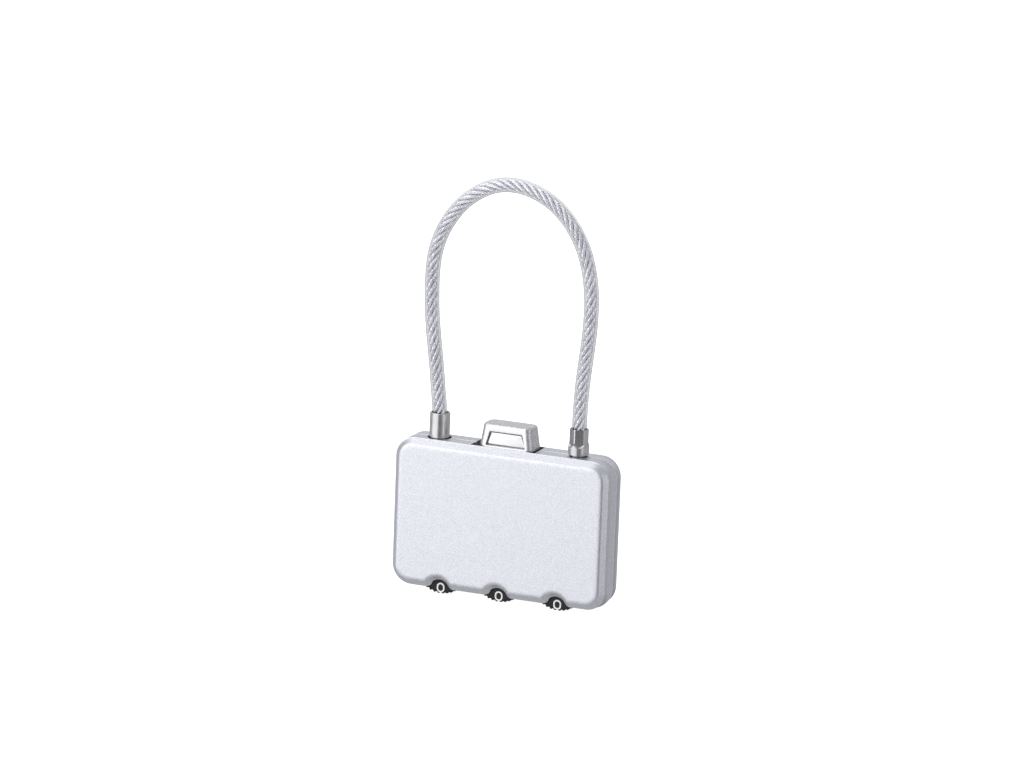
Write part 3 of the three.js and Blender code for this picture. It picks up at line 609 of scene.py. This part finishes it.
def make_world():
    """White to the camera. Reflections see a grey room that is darker at the camera and behind."""
    world = bpy.data.worlds.new("studio")
    world.use_nodes = True
    tree = world.node_tree
    tree.nodes.clear()

    def add(kind, operation=None, *inputs):
        made = tree.nodes.new(kind)
        if operation:
            made.operation = operation
        for slot, value in enumerate(inputs):
            if isinstance(value, bpy.types.NodeSocket):
                tree.links.new(value, made.inputs[slot])
            else:
                made.inputs[slot].default_value = value
        return made.outputs

    output = tree.nodes.new("ShaderNodeOutputWorld")
    path = tree.nodes.new("ShaderNodeLightPath").outputs
    heading = add("ShaderNodeTexCoord")["Generated"]
    level = ROOM_LEVEL
    for direction, start, depth in ROOM_SHADES:
        toward = add("ShaderNodeVectorMath", "DOT_PRODUCT", heading, Vector(direction).normalized())["Value"]
        shade = add("ShaderNodeMapRange", None, toward, start, 1.0, 0.0, depth)["Result"]
        level = add("ShaderNodeMath", "SUBTRACT", level, shade)[0]
    room = add("ShaderNodeBackground", None, (0.97, 0.975, 1, 1), level)[0]
    backdrop = add("ShaderNodeBackground", None, (1, 1, 1, 1), 1.05)[0]
    straight = add("ShaderNodeMath", "LESS_THAN", path["Glossy Depth"], 0.5)[0]
    seen_through = add("ShaderNodeMath", "MULTIPLY", path["Is Transmission Ray"], straight)[0]
    reflected = add("ShaderNodeMath", "MULTIPLY", path["Is Transmission Ray"], SHEATH_GLOW)[0]
    clear = add("ShaderNodeMath", "MULTIPLY", seen_through, SHEATH_CLARITY)[0]
    dimmed = add("ShaderNodeMath", "MAXIMUM", reflected, clear)[0]
    either = add("ShaderNodeMath", "MAXIMUM", path["Is Camera Ray"], dimmed)[0]
    mixed = add("ShaderNodeMixShader", None, either, room, backdrop)[0]
    tree.links.new(mixed, output.inputs["Surface"])
    bpy.context.scene.world = world


make_camera()
make_world()
make_floor()
make_light("front_left", (-0.57, -0.82, -0.1), (0.8, 0.5), 0.855)
make_light("front_high", (-0.55, -0.76, 0.4), (0.8, 0.3), 1.04)
make_light("overhead", (-0.35, -0.2, 0.9), (0.6, 0.6), 0.84)
make_light("rear", (-0.37, 0.88, 0.32), (0.9, 0.3), 0.28)
make_light("right", (0.9, -0.42, 0.0), (0.15, 0.5), 0.6)
bpy.context.scene.view_settings.view_transform = "Standard"


# ---------------------------------------------------------------- cable

def route_points(step_mm):
    """The rope's centre line, evenly spaced, as points of the case's frame."""
    control = [Vector((x, 0, z)) for x, z in CABLE_ROUTE]
    control = [control[0] * 2 - control[1], *control, control[-1] * 2 - control[-2]]
    dense = []
    steps_per_span = 12
    for i in range(1, len(control) - 2):
        a, b, c, d = control[i - 1:i + 3]
        for j in range(steps_per_span):
            t = j / steps_per_span
            dense.append(0.5 * (2 * b + (c - a) * t + (2 * a - 5 * b + 4 * c - d) * t ** 2
                                + (3 * b - a - 3 * c + d) * t ** 3))
    dense.append(control[-2])
    along = [0.0]
    for a, b in zip(dense, dense[1:]):
        along.append(along[-1] + (b - a).length)
    count = round(along[-1] / step_mm)
    points = []
    at = 0
    for i in range(count + 1):
        target = along[-1] * i / count
        while at < len(dense) - 2 and along[at + 1] < target:
            at += 1
        share = (target - along[at]) / (along[at + 1] - along[at])
        points.append(dense[at].lerp(dense[at + 1], share))
    return points, along[-1]


def frames_along(points):
    """At each point of a line in the XZ plane: the point, the sideways direction and the travelled length."""
    across = Vector((0, 1, 0))
    travelled = 0.0
    frames = []
    for i, p in enumerate(points):
        tangent = (points[min(i + 1, len(points) - 1)] - points[max(i - 1, 0)]).normalized()
        if i:
            travelled += (p - points[i - 1]).length
        frames.append((p, across.cross(tangent), travelled))
    return frames


def ring_at(centre, side, outline):
    """An outline (sideways, across) set square to the line at a point."""
    across = Vector((0, 1, 0))
    return [tuple(centre + side * u + across * v) for u, v in outline]


def lobed_outline(turn):
    """A strand's outline: a ring of six touching round wires, turned by that angle."""
    wire = STRAND_RADIUS / 3
    ring = 2 * wire
    steps = 4
    outline = []
    for i in range(6 * steps):
        angle = 2 * math.pi * i / (6 * steps)
        off = (i % steps) / steps * math.pi / 3
        off = off - math.pi / 3 if off > math.pi / 6 else off
        reach = ring * math.cos(off) + math.sqrt(max(wire ** 2 - (ring * math.sin(off)) ** 2, 0))
        outline.append((reach * math.cos(angle + turn), reach * math.sin(angle + turn)))
    return outline


def make_cable():
    points, length = route_points(ROPE_STEP)
    frames = frames_along(points)
    pieces = []
    for number in range(STRAND_COUNT + 1):
        offset = LAY_RADIUS if number else 0
        rings = []
        for centre, side, travelled in frames:
            angle = 2 * math.pi * (travelled / STRAND_LAY + number / STRAND_COUNT)
            turn = -2 * math.pi * travelled / WIRE_LAY
            outline = [(u + offset * math.cos(angle), v + offset * math.sin(angle))
                       for u, v in lobed_outline(turn)]
            rings.append(ring_at(centre, side, outline))
        strand = piece(f"rope_strand_{number}" if number else "rope_heart", *loft(rings), rope_steel, 60)
        pieces.append(strand)

    coarse, _ = route_points(SHEATH_STEP)
    outer = round_outline(0, 0, SHEATH_RADIUS, SHEATH_SIDES)
    inner = round_outline(0, 0, SHEATH_BORE_RADIUS, SHEATH_SIDES)
    outside = [ring_at(centre, side, outer) for centre, side, _ in frames_along(coarse)]
    inside = [ring_at(centre, side, inner) for centre, side, _ in frames_along(coarse)]
    sheath = piece("cable_cover", *joined_rings(outside + inside[::-1]), clear_sheath, 60)
    pieces.append(sheath)

    for part in pieces:
        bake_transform(part)
    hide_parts("cable_sheath")
    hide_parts("cable_core")


make_cable()


# ---------------------------------------------------------------- case covers

CORNER_STEPS = 16
FOOT_STEPS = 6
ARCH_STEPS = 24
# How far the outline has drawn in and the depth there, from the seam's groove to the flat face.
COVER_PROFILE = [
    (0.36, 0.02), (0.06, 0.18), (0.0, 0.24), (0.0, 0.32), (0.035, 0.42), (0.035, 2.0), (0.035, 3.25),
    (0.0, 3.36), (0.0, 3.44), (0.04, 3.5), (0.15, 3.54), (0.26, 3.62), (0.68, 4.08), (1.1, 4.55),
    (1.24, 4.68), (1.42, 4.77), (1.62, 4.83), (1.9, 4.875), (2.2, 4.9), (2.6, 4.9),
]


def arch_outline(x, grow, edge_z):
    """The arched notch over a dial in the case's bottom edge, from its left foot to its right foot."""
    arch = ARCH_RADIUS + grow
    foot = max(ARCH_FOOT_RADIUS - grow, 0.05)
    foot_z = edge_z + foot
    foot_x = math.sqrt((arch + foot) ** 2 - (foot_z - ARCH_CENTRE_Z) ** 2)
    tilt = math.degrees(math.atan2(foot_z - ARCH_CENTRE_Z, foot_x))
    left = arc(x - foot_x, foot_z, foot, -90, -tilt, FOOT_STEPS)
    over = arc(x, ARCH_CENTRE_Z, arch, 180 - tilt, tilt, ARCH_STEPS)
    right = arc(x + foot_x, foot_z, foot, 180 + tilt, 270, FOOT_STEPS)
    return left + over[1:-1] + right


def cover_outline(inset, swell, arched):
    half = CASE_WIDTH / 2 - inset + swell
    low, high = inset - swell, CASE_HEIGHT - inset
    corner = max(CASE_CORNER - inset + swell, 0.5)
    outline = arc(-half + corner, low + corner, corner, 180, 270, CORNER_STEPS)
    if arched:
        for number in DIAL_NUMBERS:
            outline += arch_outline(DIAL_X[number], inset * ARCH_BAND / BAND_INSET, low)
    outline += arc(half - corner, low + corner, corner, 270, 360, CORNER_STEPS)
    outline += arc(half - corner, high - corner, corner, 0, 90, CORNER_STEPS)
    outline += arc(-half + corner, high - corner, corner, 90, 180, CORNER_STEPS)
    return outline


def cover_body(name, side):
    """The outside of one half of the case. side is -1 for the front and 1 for the back."""
    rings = []
    for inset, depth in COVER_PROFILE:
        swell = SEAM_SWELL * max(0, 1 - depth / RIDGE_Y)
        rings.append(facing(cover_outline(inset, swell, side < 0), side * depth))
    return piece(name, *loft(rings), case_silver)


def rounded_box(left, right, bottom, top, radius, front, back, name):
    outline = arc(left + radius, bottom + radius, radius, 180, 270, 6)
    outline += arc(right - radius, bottom + radius, radius, 270, 360, 6)
    outline += arc(right - radius, top - radius, radius, 0, 90, 6)
    outline += arc(left + radius, top - radius, radius, 90, 180, 6)
    return piece(name, *loft([facing(outline, front), facing(outline, back)]), case_silver)


def top_openings():
    """Tools for the handle's slot and the holes of both cable ends. Their walls get painted shade, near
    black.
    """
    slot = block("slot", (SLOT_LEFT, SLOT_RIGHT), (-SLOT_HALF_DEPTH, SLOT_HALF_DEPTH),
                 (FLANGE_TOP_Z, CASE_HEIGHT + THROUGH), shaded_cut_wall)
    ferrule = bar_z("ferrule_hole", FERRULE_X, FERRULE_HOLE_RADIUS, FLANGE_TOP_Z, CASE_HEIGHT + THROUGH,
                    shaded_cut_wall)
    pin = bar_z("pin_hole", PIN_X, PIN_HOLE_RADIUS, GUIDE_BOTTOM - THROUGH, CASE_HEIGHT + THROUGH, shaded_cut_wall)
    return [slot, ferrule, pin]


def make_front_cover():
    cover = cover_body("front_shell", -1)
    half = CASE_WIDTH / 2 - WALL
    cuts = [rounded_box(-half, half, DIAL_CENTRE_Z + DIAL_TIP_RADIUS, CASE_HEIGHT - WALL, WALL,
                        -INNER_FACE_Y, THROUGH, "cavity")]
    for x in DIAL_X.values():
        cuts.append(bar_y("pocket", x, DIAL_CENTRE_Z, POCKET_RADIUS, POCKET_Y, THROUGH))
        cuts.append(bar_y("post_hole", x, DIAL_CENTRE_Z, POST_RADIUS + FIT_GAP, POST_FRONT_Y - FIT_GAP, 0,
                          24))
    combine(cover, cuts, "DIFFERENCE")
    root = -INNER_FACE_Y - FIT_GAP
    guide = block("guide", (GUIDE_LEFT, GUIDE_RIGHT), (root, -SPLIT_GAP), (GUIDE_BOTTOM, CASE_HEIGHT - JOIN))
    bosses = [bar_y("boss", x, z, BOSS_RADIUS, root, -SPLIT_GAP, 24) for x, z in RIVET_PLACES]
    combine(cover, [guide, *bosses], "UNION")
    holes = [bar_y("hole", x, z, RIVET_RADIUS + FIT_GAP, RIVET_FRONT_Y - FIT_GAP, THROUGH, 24)
             for x, z in RIVET_PLACES]
    combine(cover, holes + top_openings(), "DIFFERENCE")
    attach(cover, "case")
    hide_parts("front_cover")


def make_back_cover():
    cover = cover_body("back_shell", 1)
    half = CASE_WIDTH / 2 - WALL
    cavity = rounded_box(-half, half, WALL, CASE_HEIGHT - WALL, WALL, -THROUGH, INNER_FACE_Y, "cavity")
    combine(cover, [cavity], "DIFFERENCE")
    root = INNER_FACE_Y + FIT_GAP
    joins = [block("guide", (GUIDE_LEFT, GUIDE_RIGHT), (SPLIT_GAP, root), (GUIDE_BOTTOM, CASE_HEIGHT - JOIN)),
             block("latch_seat", LATCH_SEAT_X, (LATCH_SEAT_Y, root), LATCH_SEAT_Z),
             block("spring_stop", SPRING_STOP_X, (SPRING_STOP_Y, root), SPRING_STOP_Z)]
    joins += [bar_y("boss", x, z, BOSS_RADIUS, SPLIT_GAP, root, 24) for x, z in RIVET_PLACES]
    combine(cover, joins, "UNION")
    cuts = [block("leaf_slot", LEAF_SLOT_X, (-LEAF_SLOT_HALF_DEPTH, LEAF_SLOT_HALF_DEPTH), LEAF_SLOT_Z)]
    cuts += [bar_y("post_hole", x, DIAL_CENTRE_Z, POST_RADIUS + FIT_GAP, THROUGH, POST_BACK_Y + FIT_GAP, 24)
             for x in DIAL_X.values()]
    for x, z in RIVET_PLACES:
        cuts.append(bar_y("hole", x, z, RIVET_RADIUS + FIT_GAP, -THROUGH, FACE_Y + THROUGH, 24))
        cuts.append(bar_y("sink", x, z, RIVET_HEAD_RADIUS + RIVET_SINK_GAP,
                          FACE_Y - RIVET_HEAD_DEPTH - FIT_GAP, FACE_Y + THROUGH))
    combine(cover, cuts + top_openings(), "DIFFERENCE")
    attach(cover, "case")
    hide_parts("back_cover")


make_front_cover()
make_back_cover()


# ---------------------------------------------------------------- rivets

def turned_y(name, x, z, profile, material, sides=48):
    """A turned piece about a line along Y. The profile is (radius, y) from end to end."""
    rings = [facing(round_outline(x, z, radius, sides), y) for radius, y in profile]
    return piece(name, *loft(rings), material)


def make_rivets():
    """Flat-headed rivets with a rolled rim and a small dimple, flush with the back."""
    for number, (x, z) in enumerate(RIVET_PLACES, 1):
        head = RIVET_HEAD_RADIUS
        rivet = turned_y(f"rivet_{number}", x, z, [
            (RIVET_RADIUS - 0.1, RIVET_FRONT_Y), (RIVET_RADIUS, RIVET_FRONT_Y + 0.1),
            (RIVET_RADIUS, FACE_Y - RIVET_HEAD_DEPTH), (head, FACE_Y - RIVET_HEAD_DEPTH),
            (head, FACE_Y - 0.16), (head - 0.05, FACE_Y - 0.07), (head - 0.16, FACE_Y - 0.01),
            (head - 0.3, FACE_Y), (head - 0.62, FACE_Y - 0.03), (head - 0.75, FACE_Y - 0.1),
            (head - 1.0, FACE_Y - 0.16), (head - 1.3, FACE_Y - 0.17),
        ], zinc_steel)
        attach(rivet, "case")
        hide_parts(f"case_rivet_{number}")


make_rivets()


# ---------------------------------------------------------------- handle

def handle_ring(half_width, half_depth, corner, z):
    """The grip's level outline, a rectangle with round corners."""
    outline = arc(HANDLE_X - half_width + corner, -half_depth + corner, corner, 180, 270, 8)
    outline += arc(HANDLE_X + half_width - corner, -half_depth + corner, corner, 270, 360, 8)
    outline += arc(HANDLE_X + half_width - corner, half_depth - corner, corner, 0, 90, 8)
    outline += arc(HANDLE_X - half_width + corner, half_depth - corner, corner, 90, 180, 8)
    return [(x, y, z) for x, y in outline]


def panel_tool(side, levels):
    """A body with the panel's outline and rounded corners, on the front (-1) or the back (1)."""
    rings = []
    for depth, grow in levels:
        low, high = PANEL_LOW_Z - grow, PANEL_HIGH_Z + grow
        corners = ((-PANEL_LOW_HALF, low, 180), (PANEL_LOW_HALF, low, 270), (PANEL_HIGH_HALF, high, 0),
                   (-PANEL_HIGH_HALF, high, 90))
        outline = []
        for corner_x, corner_z, start in corners:
            inward = -1 if corner_x > 0 else 1
            upward = 1 if corner_z == low else -1
            x = HANDLE_X + corner_x + inward * (PANEL_CORNER - grow)
            outline += arc(x, corner_z + upward * PANEL_CORNER, PANEL_CORNER, start, start + 90, 6)
        rings.append(facing(outline, side * depth))
    return piece("panel", *loft(rings), handle_silver)


def grip_body():
    """The tapered grip with a rounded rim."""
    (foot_width, foot_depth), (crown_width, crown_depth) = HANDLE_FOOT, HANDLE_CROWN
    rim_z = HANDLE_TOP_Z - HANDLE_RIM
    rings = []
    for share in (0, 0.25, 0.5, 0.75):
        rings.append(handle_ring(foot_width + (crown_width - foot_width) * share,
                                 foot_depth + (crown_depth - foot_depth) * share, HANDLE_CORNER,
                                 HANDLE_FOOT_Z + (rim_z - HANDLE_FOOT_Z) * share))
    for angle_deg in range(0, 91, 15):
        angle = math.radians(angle_deg)
        inset = HANDLE_RIM * (1 - math.cos(angle))
        rings.append(handle_ring(crown_width - inset, crown_depth - inset, HANDLE_CORNER - inset / 2,
                                 rim_z + HANDLE_RIM * math.sin(angle)))
    return piece("grip", *loft(rings), handle_silver)


def make_handle():
    """The grip with a raised panel on both sides, and the slider under it inside the case."""
    grip = grip_body()
    combine(grip, [panel_tool(side, PANEL_RECESS) for side in (-1, 1)], "DIFFERENCE")
    combine(grip, [panel_tool(side, PANEL_PAD) for side in (-1, 1)], "UNION")
    bevel = grip.modifiers.new("soft_edges", "BEVEL")
    bevel.width = HANDLE_EDGE * MM
    bevel.segments = 2
    bevel.limit_method = "ANGLE"
    bevel.angle_limit = math.radians(50)
    combine(grip, [], "UNION")
    stem = block("stem", (HANDLE_X - STEM_HALF_WIDTH, HANDLE_X + STEM_HALF_WIDTH),
                 (-STEM_HALF_DEPTH, STEM_HALF_DEPTH), (FLANGE_BOTTOM_Z, HANDLE_FOOT_Z + JOIN), handle_silver)
    flange = block("flange", FLANGE_X, (-FLANGE_HALF_DEPTH, FLANGE_HALF_DEPTH),
                   (FLANGE_BOTTOM_Z, FLANGE_TOP_Z), handle_silver)
    tongue = block("tongue", TONGUE_X, TONGUE_Y, (TONGUE_BOTTOM_Z, FLANGE_BOTTOM_Z + JOIN), handle_silver)
    combine(grip, [stem, flange, tongue], "UNION")
    tongue_front, tongue_back = TONGUE_Y
    holes = [bar_y("hole", x, PLATE_HOLE_Z, PLATE_HOLE_RADIUS, tongue_front - THROUGH, tongue_back + THROUGH,
                   24, handle_silver) for x in PLATE_HOLE_X]
    combine(grip, holes, "DIFFERENCE")
    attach(grip, "slider")
    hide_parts("handle")


make_handle()


# ---------------------------------------------------------------- dials

def tooth_reach(share):
    """A toothed rim's radius at a share of one pitch, with rounded tips and roots."""
    wave = 0.5 - 0.5 * math.cos(2 * math.pi * share)
    shaped = wave * wave * (3 - 2 * wave)
    return DIAL_ROOT_RADIUS + (DIAL_TIP_RADIUS - DIAL_ROOT_RADIUS) * shaped


def dial_ring(x, inset, y):
    """The toothed outline, drawn in by the inset."""
    points = []
    for i in range(DIAL_TEETH * POINTS_PER_TOOTH):
        angle = 2 * math.pi * i / (DIAL_TEETH * POINTS_PER_TOOTH)
        reach = tooth_reach(i / POINTS_PER_TOOTH) - inset
        points.append((x + reach * math.cos(angle), y, DIAL_CENTRE_Z + reach * math.sin(angle)))
    return points


def plain_ring(x, radius, y):
    """A circle about the dial's axis with as many points as the toothed outline."""
    count = DIAL_TEETH * POINTS_PER_TOOTH
    return [(x + radius * math.cos(2 * math.pi * i / count), y,
             DIAL_CENTRE_Z + radius * math.sin(2 * math.pi * i / count)) for i in range(count)]


def glyph_strokes(digit):
    """The pen strokes of a digit in a box from (-1, -1) to (1, 1)."""
    left, right = -0.82, 0.82
    strokes = {
        0: [arc(0, 0.2, right, 0, 180, 14, 0.8) + arc(0, -0.2, right, 180, 360, 14, 0.8)
            + [(right, 0.2)]],
        1: [[(-0.4, 0.55), (0.1, 1.0), (0.1, -1.0)]],
        2: [arc(0, 0.4, 0.75, 160, -35, 14, 0.6) + [(left, -1.0), (right, -1.0)]],
        3: [arc(0, 0.5, 0.7, 150, -80, 14, 0.5), arc(0, -0.5, 0.78, 80, -150, 14, 0.5)],
        4: [[(0.4, -1.0), (0.4, 1.0), (left, -0.35), (right, -0.35)]],
        5: [[(0.7, 1.0), (-0.6, 1.0), (-0.7, 0.15)] + arc(-0.05, -0.35, 0.8, 120, -150, 16, 0.65)],
        6: [arc(0.3, 0.0, 1.1, 100, 180, 10, 1.0) + arc(0, -0.35, 0.78, 180, 535, 20, 0.65)],
        7: [[(left, 1.0), (right, 1.0), (-0.25, -1.0)]],
        8: [arc(0, 0.52, 0.66, -90, 270, 18, 0.48), arc(0, -0.5, 0.8, 90, 450, 18, 0.5)],
        9: [arc(-0.3, 0.0, 1.1, -80, 0, 10, 1.0) + arc(0, 0.35, 0.78, 0, 355, 20, 0.65)],
    }
    return strokes[digit]


def stroke_mesh(line, half_width, thickness, to_space):
    """A flat, slightly domed pen stroke along a line of points. to_space sets (u, v, height) in space."""
    flat = [Vector(p) for p in line]
    rings = []
    for i, p in enumerate(flat):
        before = (p - flat[i - 1]).normalized() if i else (flat[1] - p).normalized()
        after = (flat[i + 1] - p).normalized() if i < len(flat) - 1 else before
        heading = (before + after).normalized()
        mitre = min(1 / max(heading.dot(after), 0.5), 1.6)
        aside = Vector((-heading.y, heading.x)) * half_width * mitre
        rings.append([to_space(p + aside, 0), to_space(p + aside * 0.8, thickness),
                      to_space(p - aside * 0.8, thickness), to_space(p - aside, 0)])
    return loft(rings)


def make_digits(number):
    """The ten digits printed round a dial's face. The one at the bottom reads upright."""
    x = DIAL_X[number]
    points, faces = [], []
    for digit in range(10):
        turn = math.radians(36 * digit)

        def to_space(flat, height, turn=turn):
            u, v = flat.x * DIGIT_HALF_WIDE, flat.y * DIGIT_HALF_HIGH - DIGIT_CENTRE_RADIUS
            return (x + u * math.cos(turn) - v * math.sin(turn), DIAL_FRONT_Y - height,
                    DIAL_CENTRE_Z + u * math.sin(turn) + v * math.cos(turn))

        for line in glyph_strokes(digit):
            some_points, some_faces = stroke_mesh(line, DIGIT_STROKE_HALF, DIGIT_RELIEF, to_space)
            first = len(points)
            points += some_points
            faces += [tuple(first + i for i in face) for face in some_faces]
    digits = piece(f"digits_{number}", points, faces, digit_white, 50)
    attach(digits, f"dial_{number}")


def make_dial(number):
    x = DIAL_X[number]
    rings = [plain_ring(x, DIAL_BORE_RADIUS, DIAL_BACK_Y), plain_ring(x, DIAL_FACE_RADIUS, DIAL_BACK_Y)]
    rings += [dial_ring(x, inset, DIAL_BACK_Y - depth) for inset, depth in DIAL_CHAMFER]
    rings += [dial_ring(x, inset, DIAL_FRONT_Y + depth) for inset, depth in reversed(DIAL_CHAMFER)]
    rings += [plain_ring(x, DIAL_FACE_RADIUS, DIAL_FRONT_Y), plain_ring(x, DIAL_BORE_RADIUS, DIAL_FRONT_Y)]
    dial = piece(f"number_wheel_{number}", *joined_rings(rings), dial_black, 40)
    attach(dial, f"dial_{number}")
    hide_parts(f"dial_{number}")
    make_digits(number)


for number in DIAL_NUMBERS:
    make_dial(number)


# ---------------------------------------------------------------- cable ends

def make_left_ferrule():
    """A plain tube with a flange inside the case and a rounded rim."""
    profile = [
        (0.4, 31.0), (2.2, 31.0), (2.4, 31.2), (2.4, 31.9), (3.2, 31.9), (3.2, 33.5), (2.4, 33.5),
        (2.4, 36.0), (2.4, 41.35), (2.36, 41.5), (2.26, 41.58), (2.12, 41.6), (2.0, 41.54), (1.95, 41.4),
        (1.95, 37.2), (0.4, 37.2),
    ]
    rings = [[(px, py, z) for px, py in round_outline(FERRULE_X, 0, radius, 64)] for radius, z in profile]
    ferrule = piece("left_ferrule", *joined_rings(rings), nickel)
    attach(ferrule, "case")
    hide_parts("swivel_ferrule")


def crimped_reach(angle_deg, radius, z):
    """The radius of the crimped tube: round below, six flats above that run out in rounded lips."""
    off_deg = (angle_deg + CRIMP_TURN_DEG) % 60 - 30
    lip_z = CRIMP_LIP_Z + CRIMP_LIP_RISE * (off_deg / 30) ** 2
    flat = CRIMP_FLAT_RADIUS + max(0, lip_z - z) * CRIMP_LIP_SLOPE
    low, high = CRIMP_SHOULDER_Z
    share = min(max(high - z, 0) / (high - low), 1)
    shoulder = CRIMP_CORNER_RADIUS + share * (radius - CRIMP_CORNER_RADIUS)
    return min(radius, shoulder, flat / math.cos(math.radians(off_deg)))


def make_right_ferrule():
    """The locking pin: grooved shank, round head and a hexagonal crimp on the cable."""
    sides = 96
    levels = 64
    profile = [
        (0.3, 26.0), (1.3, 26.0), (1.8, 26.5), (1.8, 28.0), (1.1, 28.0), (1.1, 29.3), (1.8, 29.3),
        (1.8, 35.9), (2.3, 35.9),
    ]
    for i in range(levels + 1):
        profile.append((HEAD_RADIUS, HEAD_FOOT_Z + (HEAD_TOP_Z - HEAD_FOOT_Z) * i / levels))
    profile += [
        (2.14, 42.1), (2.05, 42.1), (HEAD_BORE_RADIUS, HEAD_TOP_Z), (HEAD_BORE_RADIUS, 37.2), (0.3, 37.2),
    ]
    rings = []
    for radius, z in profile:
        ring = []
        for i in range(sides):
            angle_deg = 360 * i / sides
            angle = math.radians(angle_deg)
            reach = crimped_reach(angle_deg, radius, z) if radius > 2.1 else radius
            ring.append((PIN_X + reach * math.cos(angle), reach * math.sin(angle), z))
        rings.append(ring)
    pin = piece("right_ferrule", *joined_rings(rings), nickel, 22)
    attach(pin, "pin")
    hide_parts("locking_pin")


make_left_ferrule()
make_right_ferrule()


# ---------------------------------------------------------------- return spring

RETURN_START_X = -13.6
RETURN_END_X = -5.9
RETURN_Y = 0.3
RETURN_Z = 22
RETURN_TURNS = 6.5
RETURN_COIL_RADIUS = 1.1
RETURN_WIRE_RADIUS = 0.2


def coil_point(share):
    """The wire's centre line. The end turns lie closer together than the ones between."""
    turned = 2 * math.pi * RETURN_TURNS * share
    along = share - 0.1 * math.sin(2 * math.pi * share)
    return Vector((RETURN_START_X + (RETURN_END_X - RETURN_START_X) * along,
                   RETURN_Y + RETURN_COIL_RADIUS * math.cos(turned),
                   RETURN_Z + RETURN_COIL_RADIUS * math.sin(turned)))


def make_return_spring():
    """The coil that pushes the slider back. It keeps one length; the real coil shortens as the handle moves.
    """
    steps = 160
    step = 1 / steps
    rings = []
    for i in range(steps + 1):
        share = i * step
        centre = coil_point(share)
        tangent = (coil_point(share + step) - coil_point(share - step)).normalized()
        outward = (centre - Vector((centre.x, RETURN_Y, RETURN_Z))).normalized()
        aside = tangent.cross(outward).normalized()
        outward = aside.cross(tangent)
        rings.append([tuple(centre + outward * u + aside * v)
                      for u, v in round_outline(0, 0, RETURN_WIRE_RADIUS, 12)])
    spring = piece("return_coil", *loft(rings), spring_steel, 60)
    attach(spring, "case")
    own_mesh(spring)
    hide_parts("slider_return_spring")


make_return_spring()


# ---------------------------------------------------------------- CAD nodes that stay

def repaint(names, material):
    for name in names:
        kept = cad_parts[name]
        kept.data.materials.clear()
        kept.data.materials.append(material)


repaint([f"gate_ring_{n}" for n in DIAL_NUMBERS], ring_brass)
repaint([f"clutch_spring_{n}" for n in DIAL_NUMBERS], spring_steel)
repaint([f"dial_post_{n}" for n in DIAL_NUMBERS], zinc_steel)
repaint(["slider_plate", "slider_screw_1", "slider_screw_2"], zinc_steel)
repaint(["detent_spring", "latch_spring"], spring_steel)
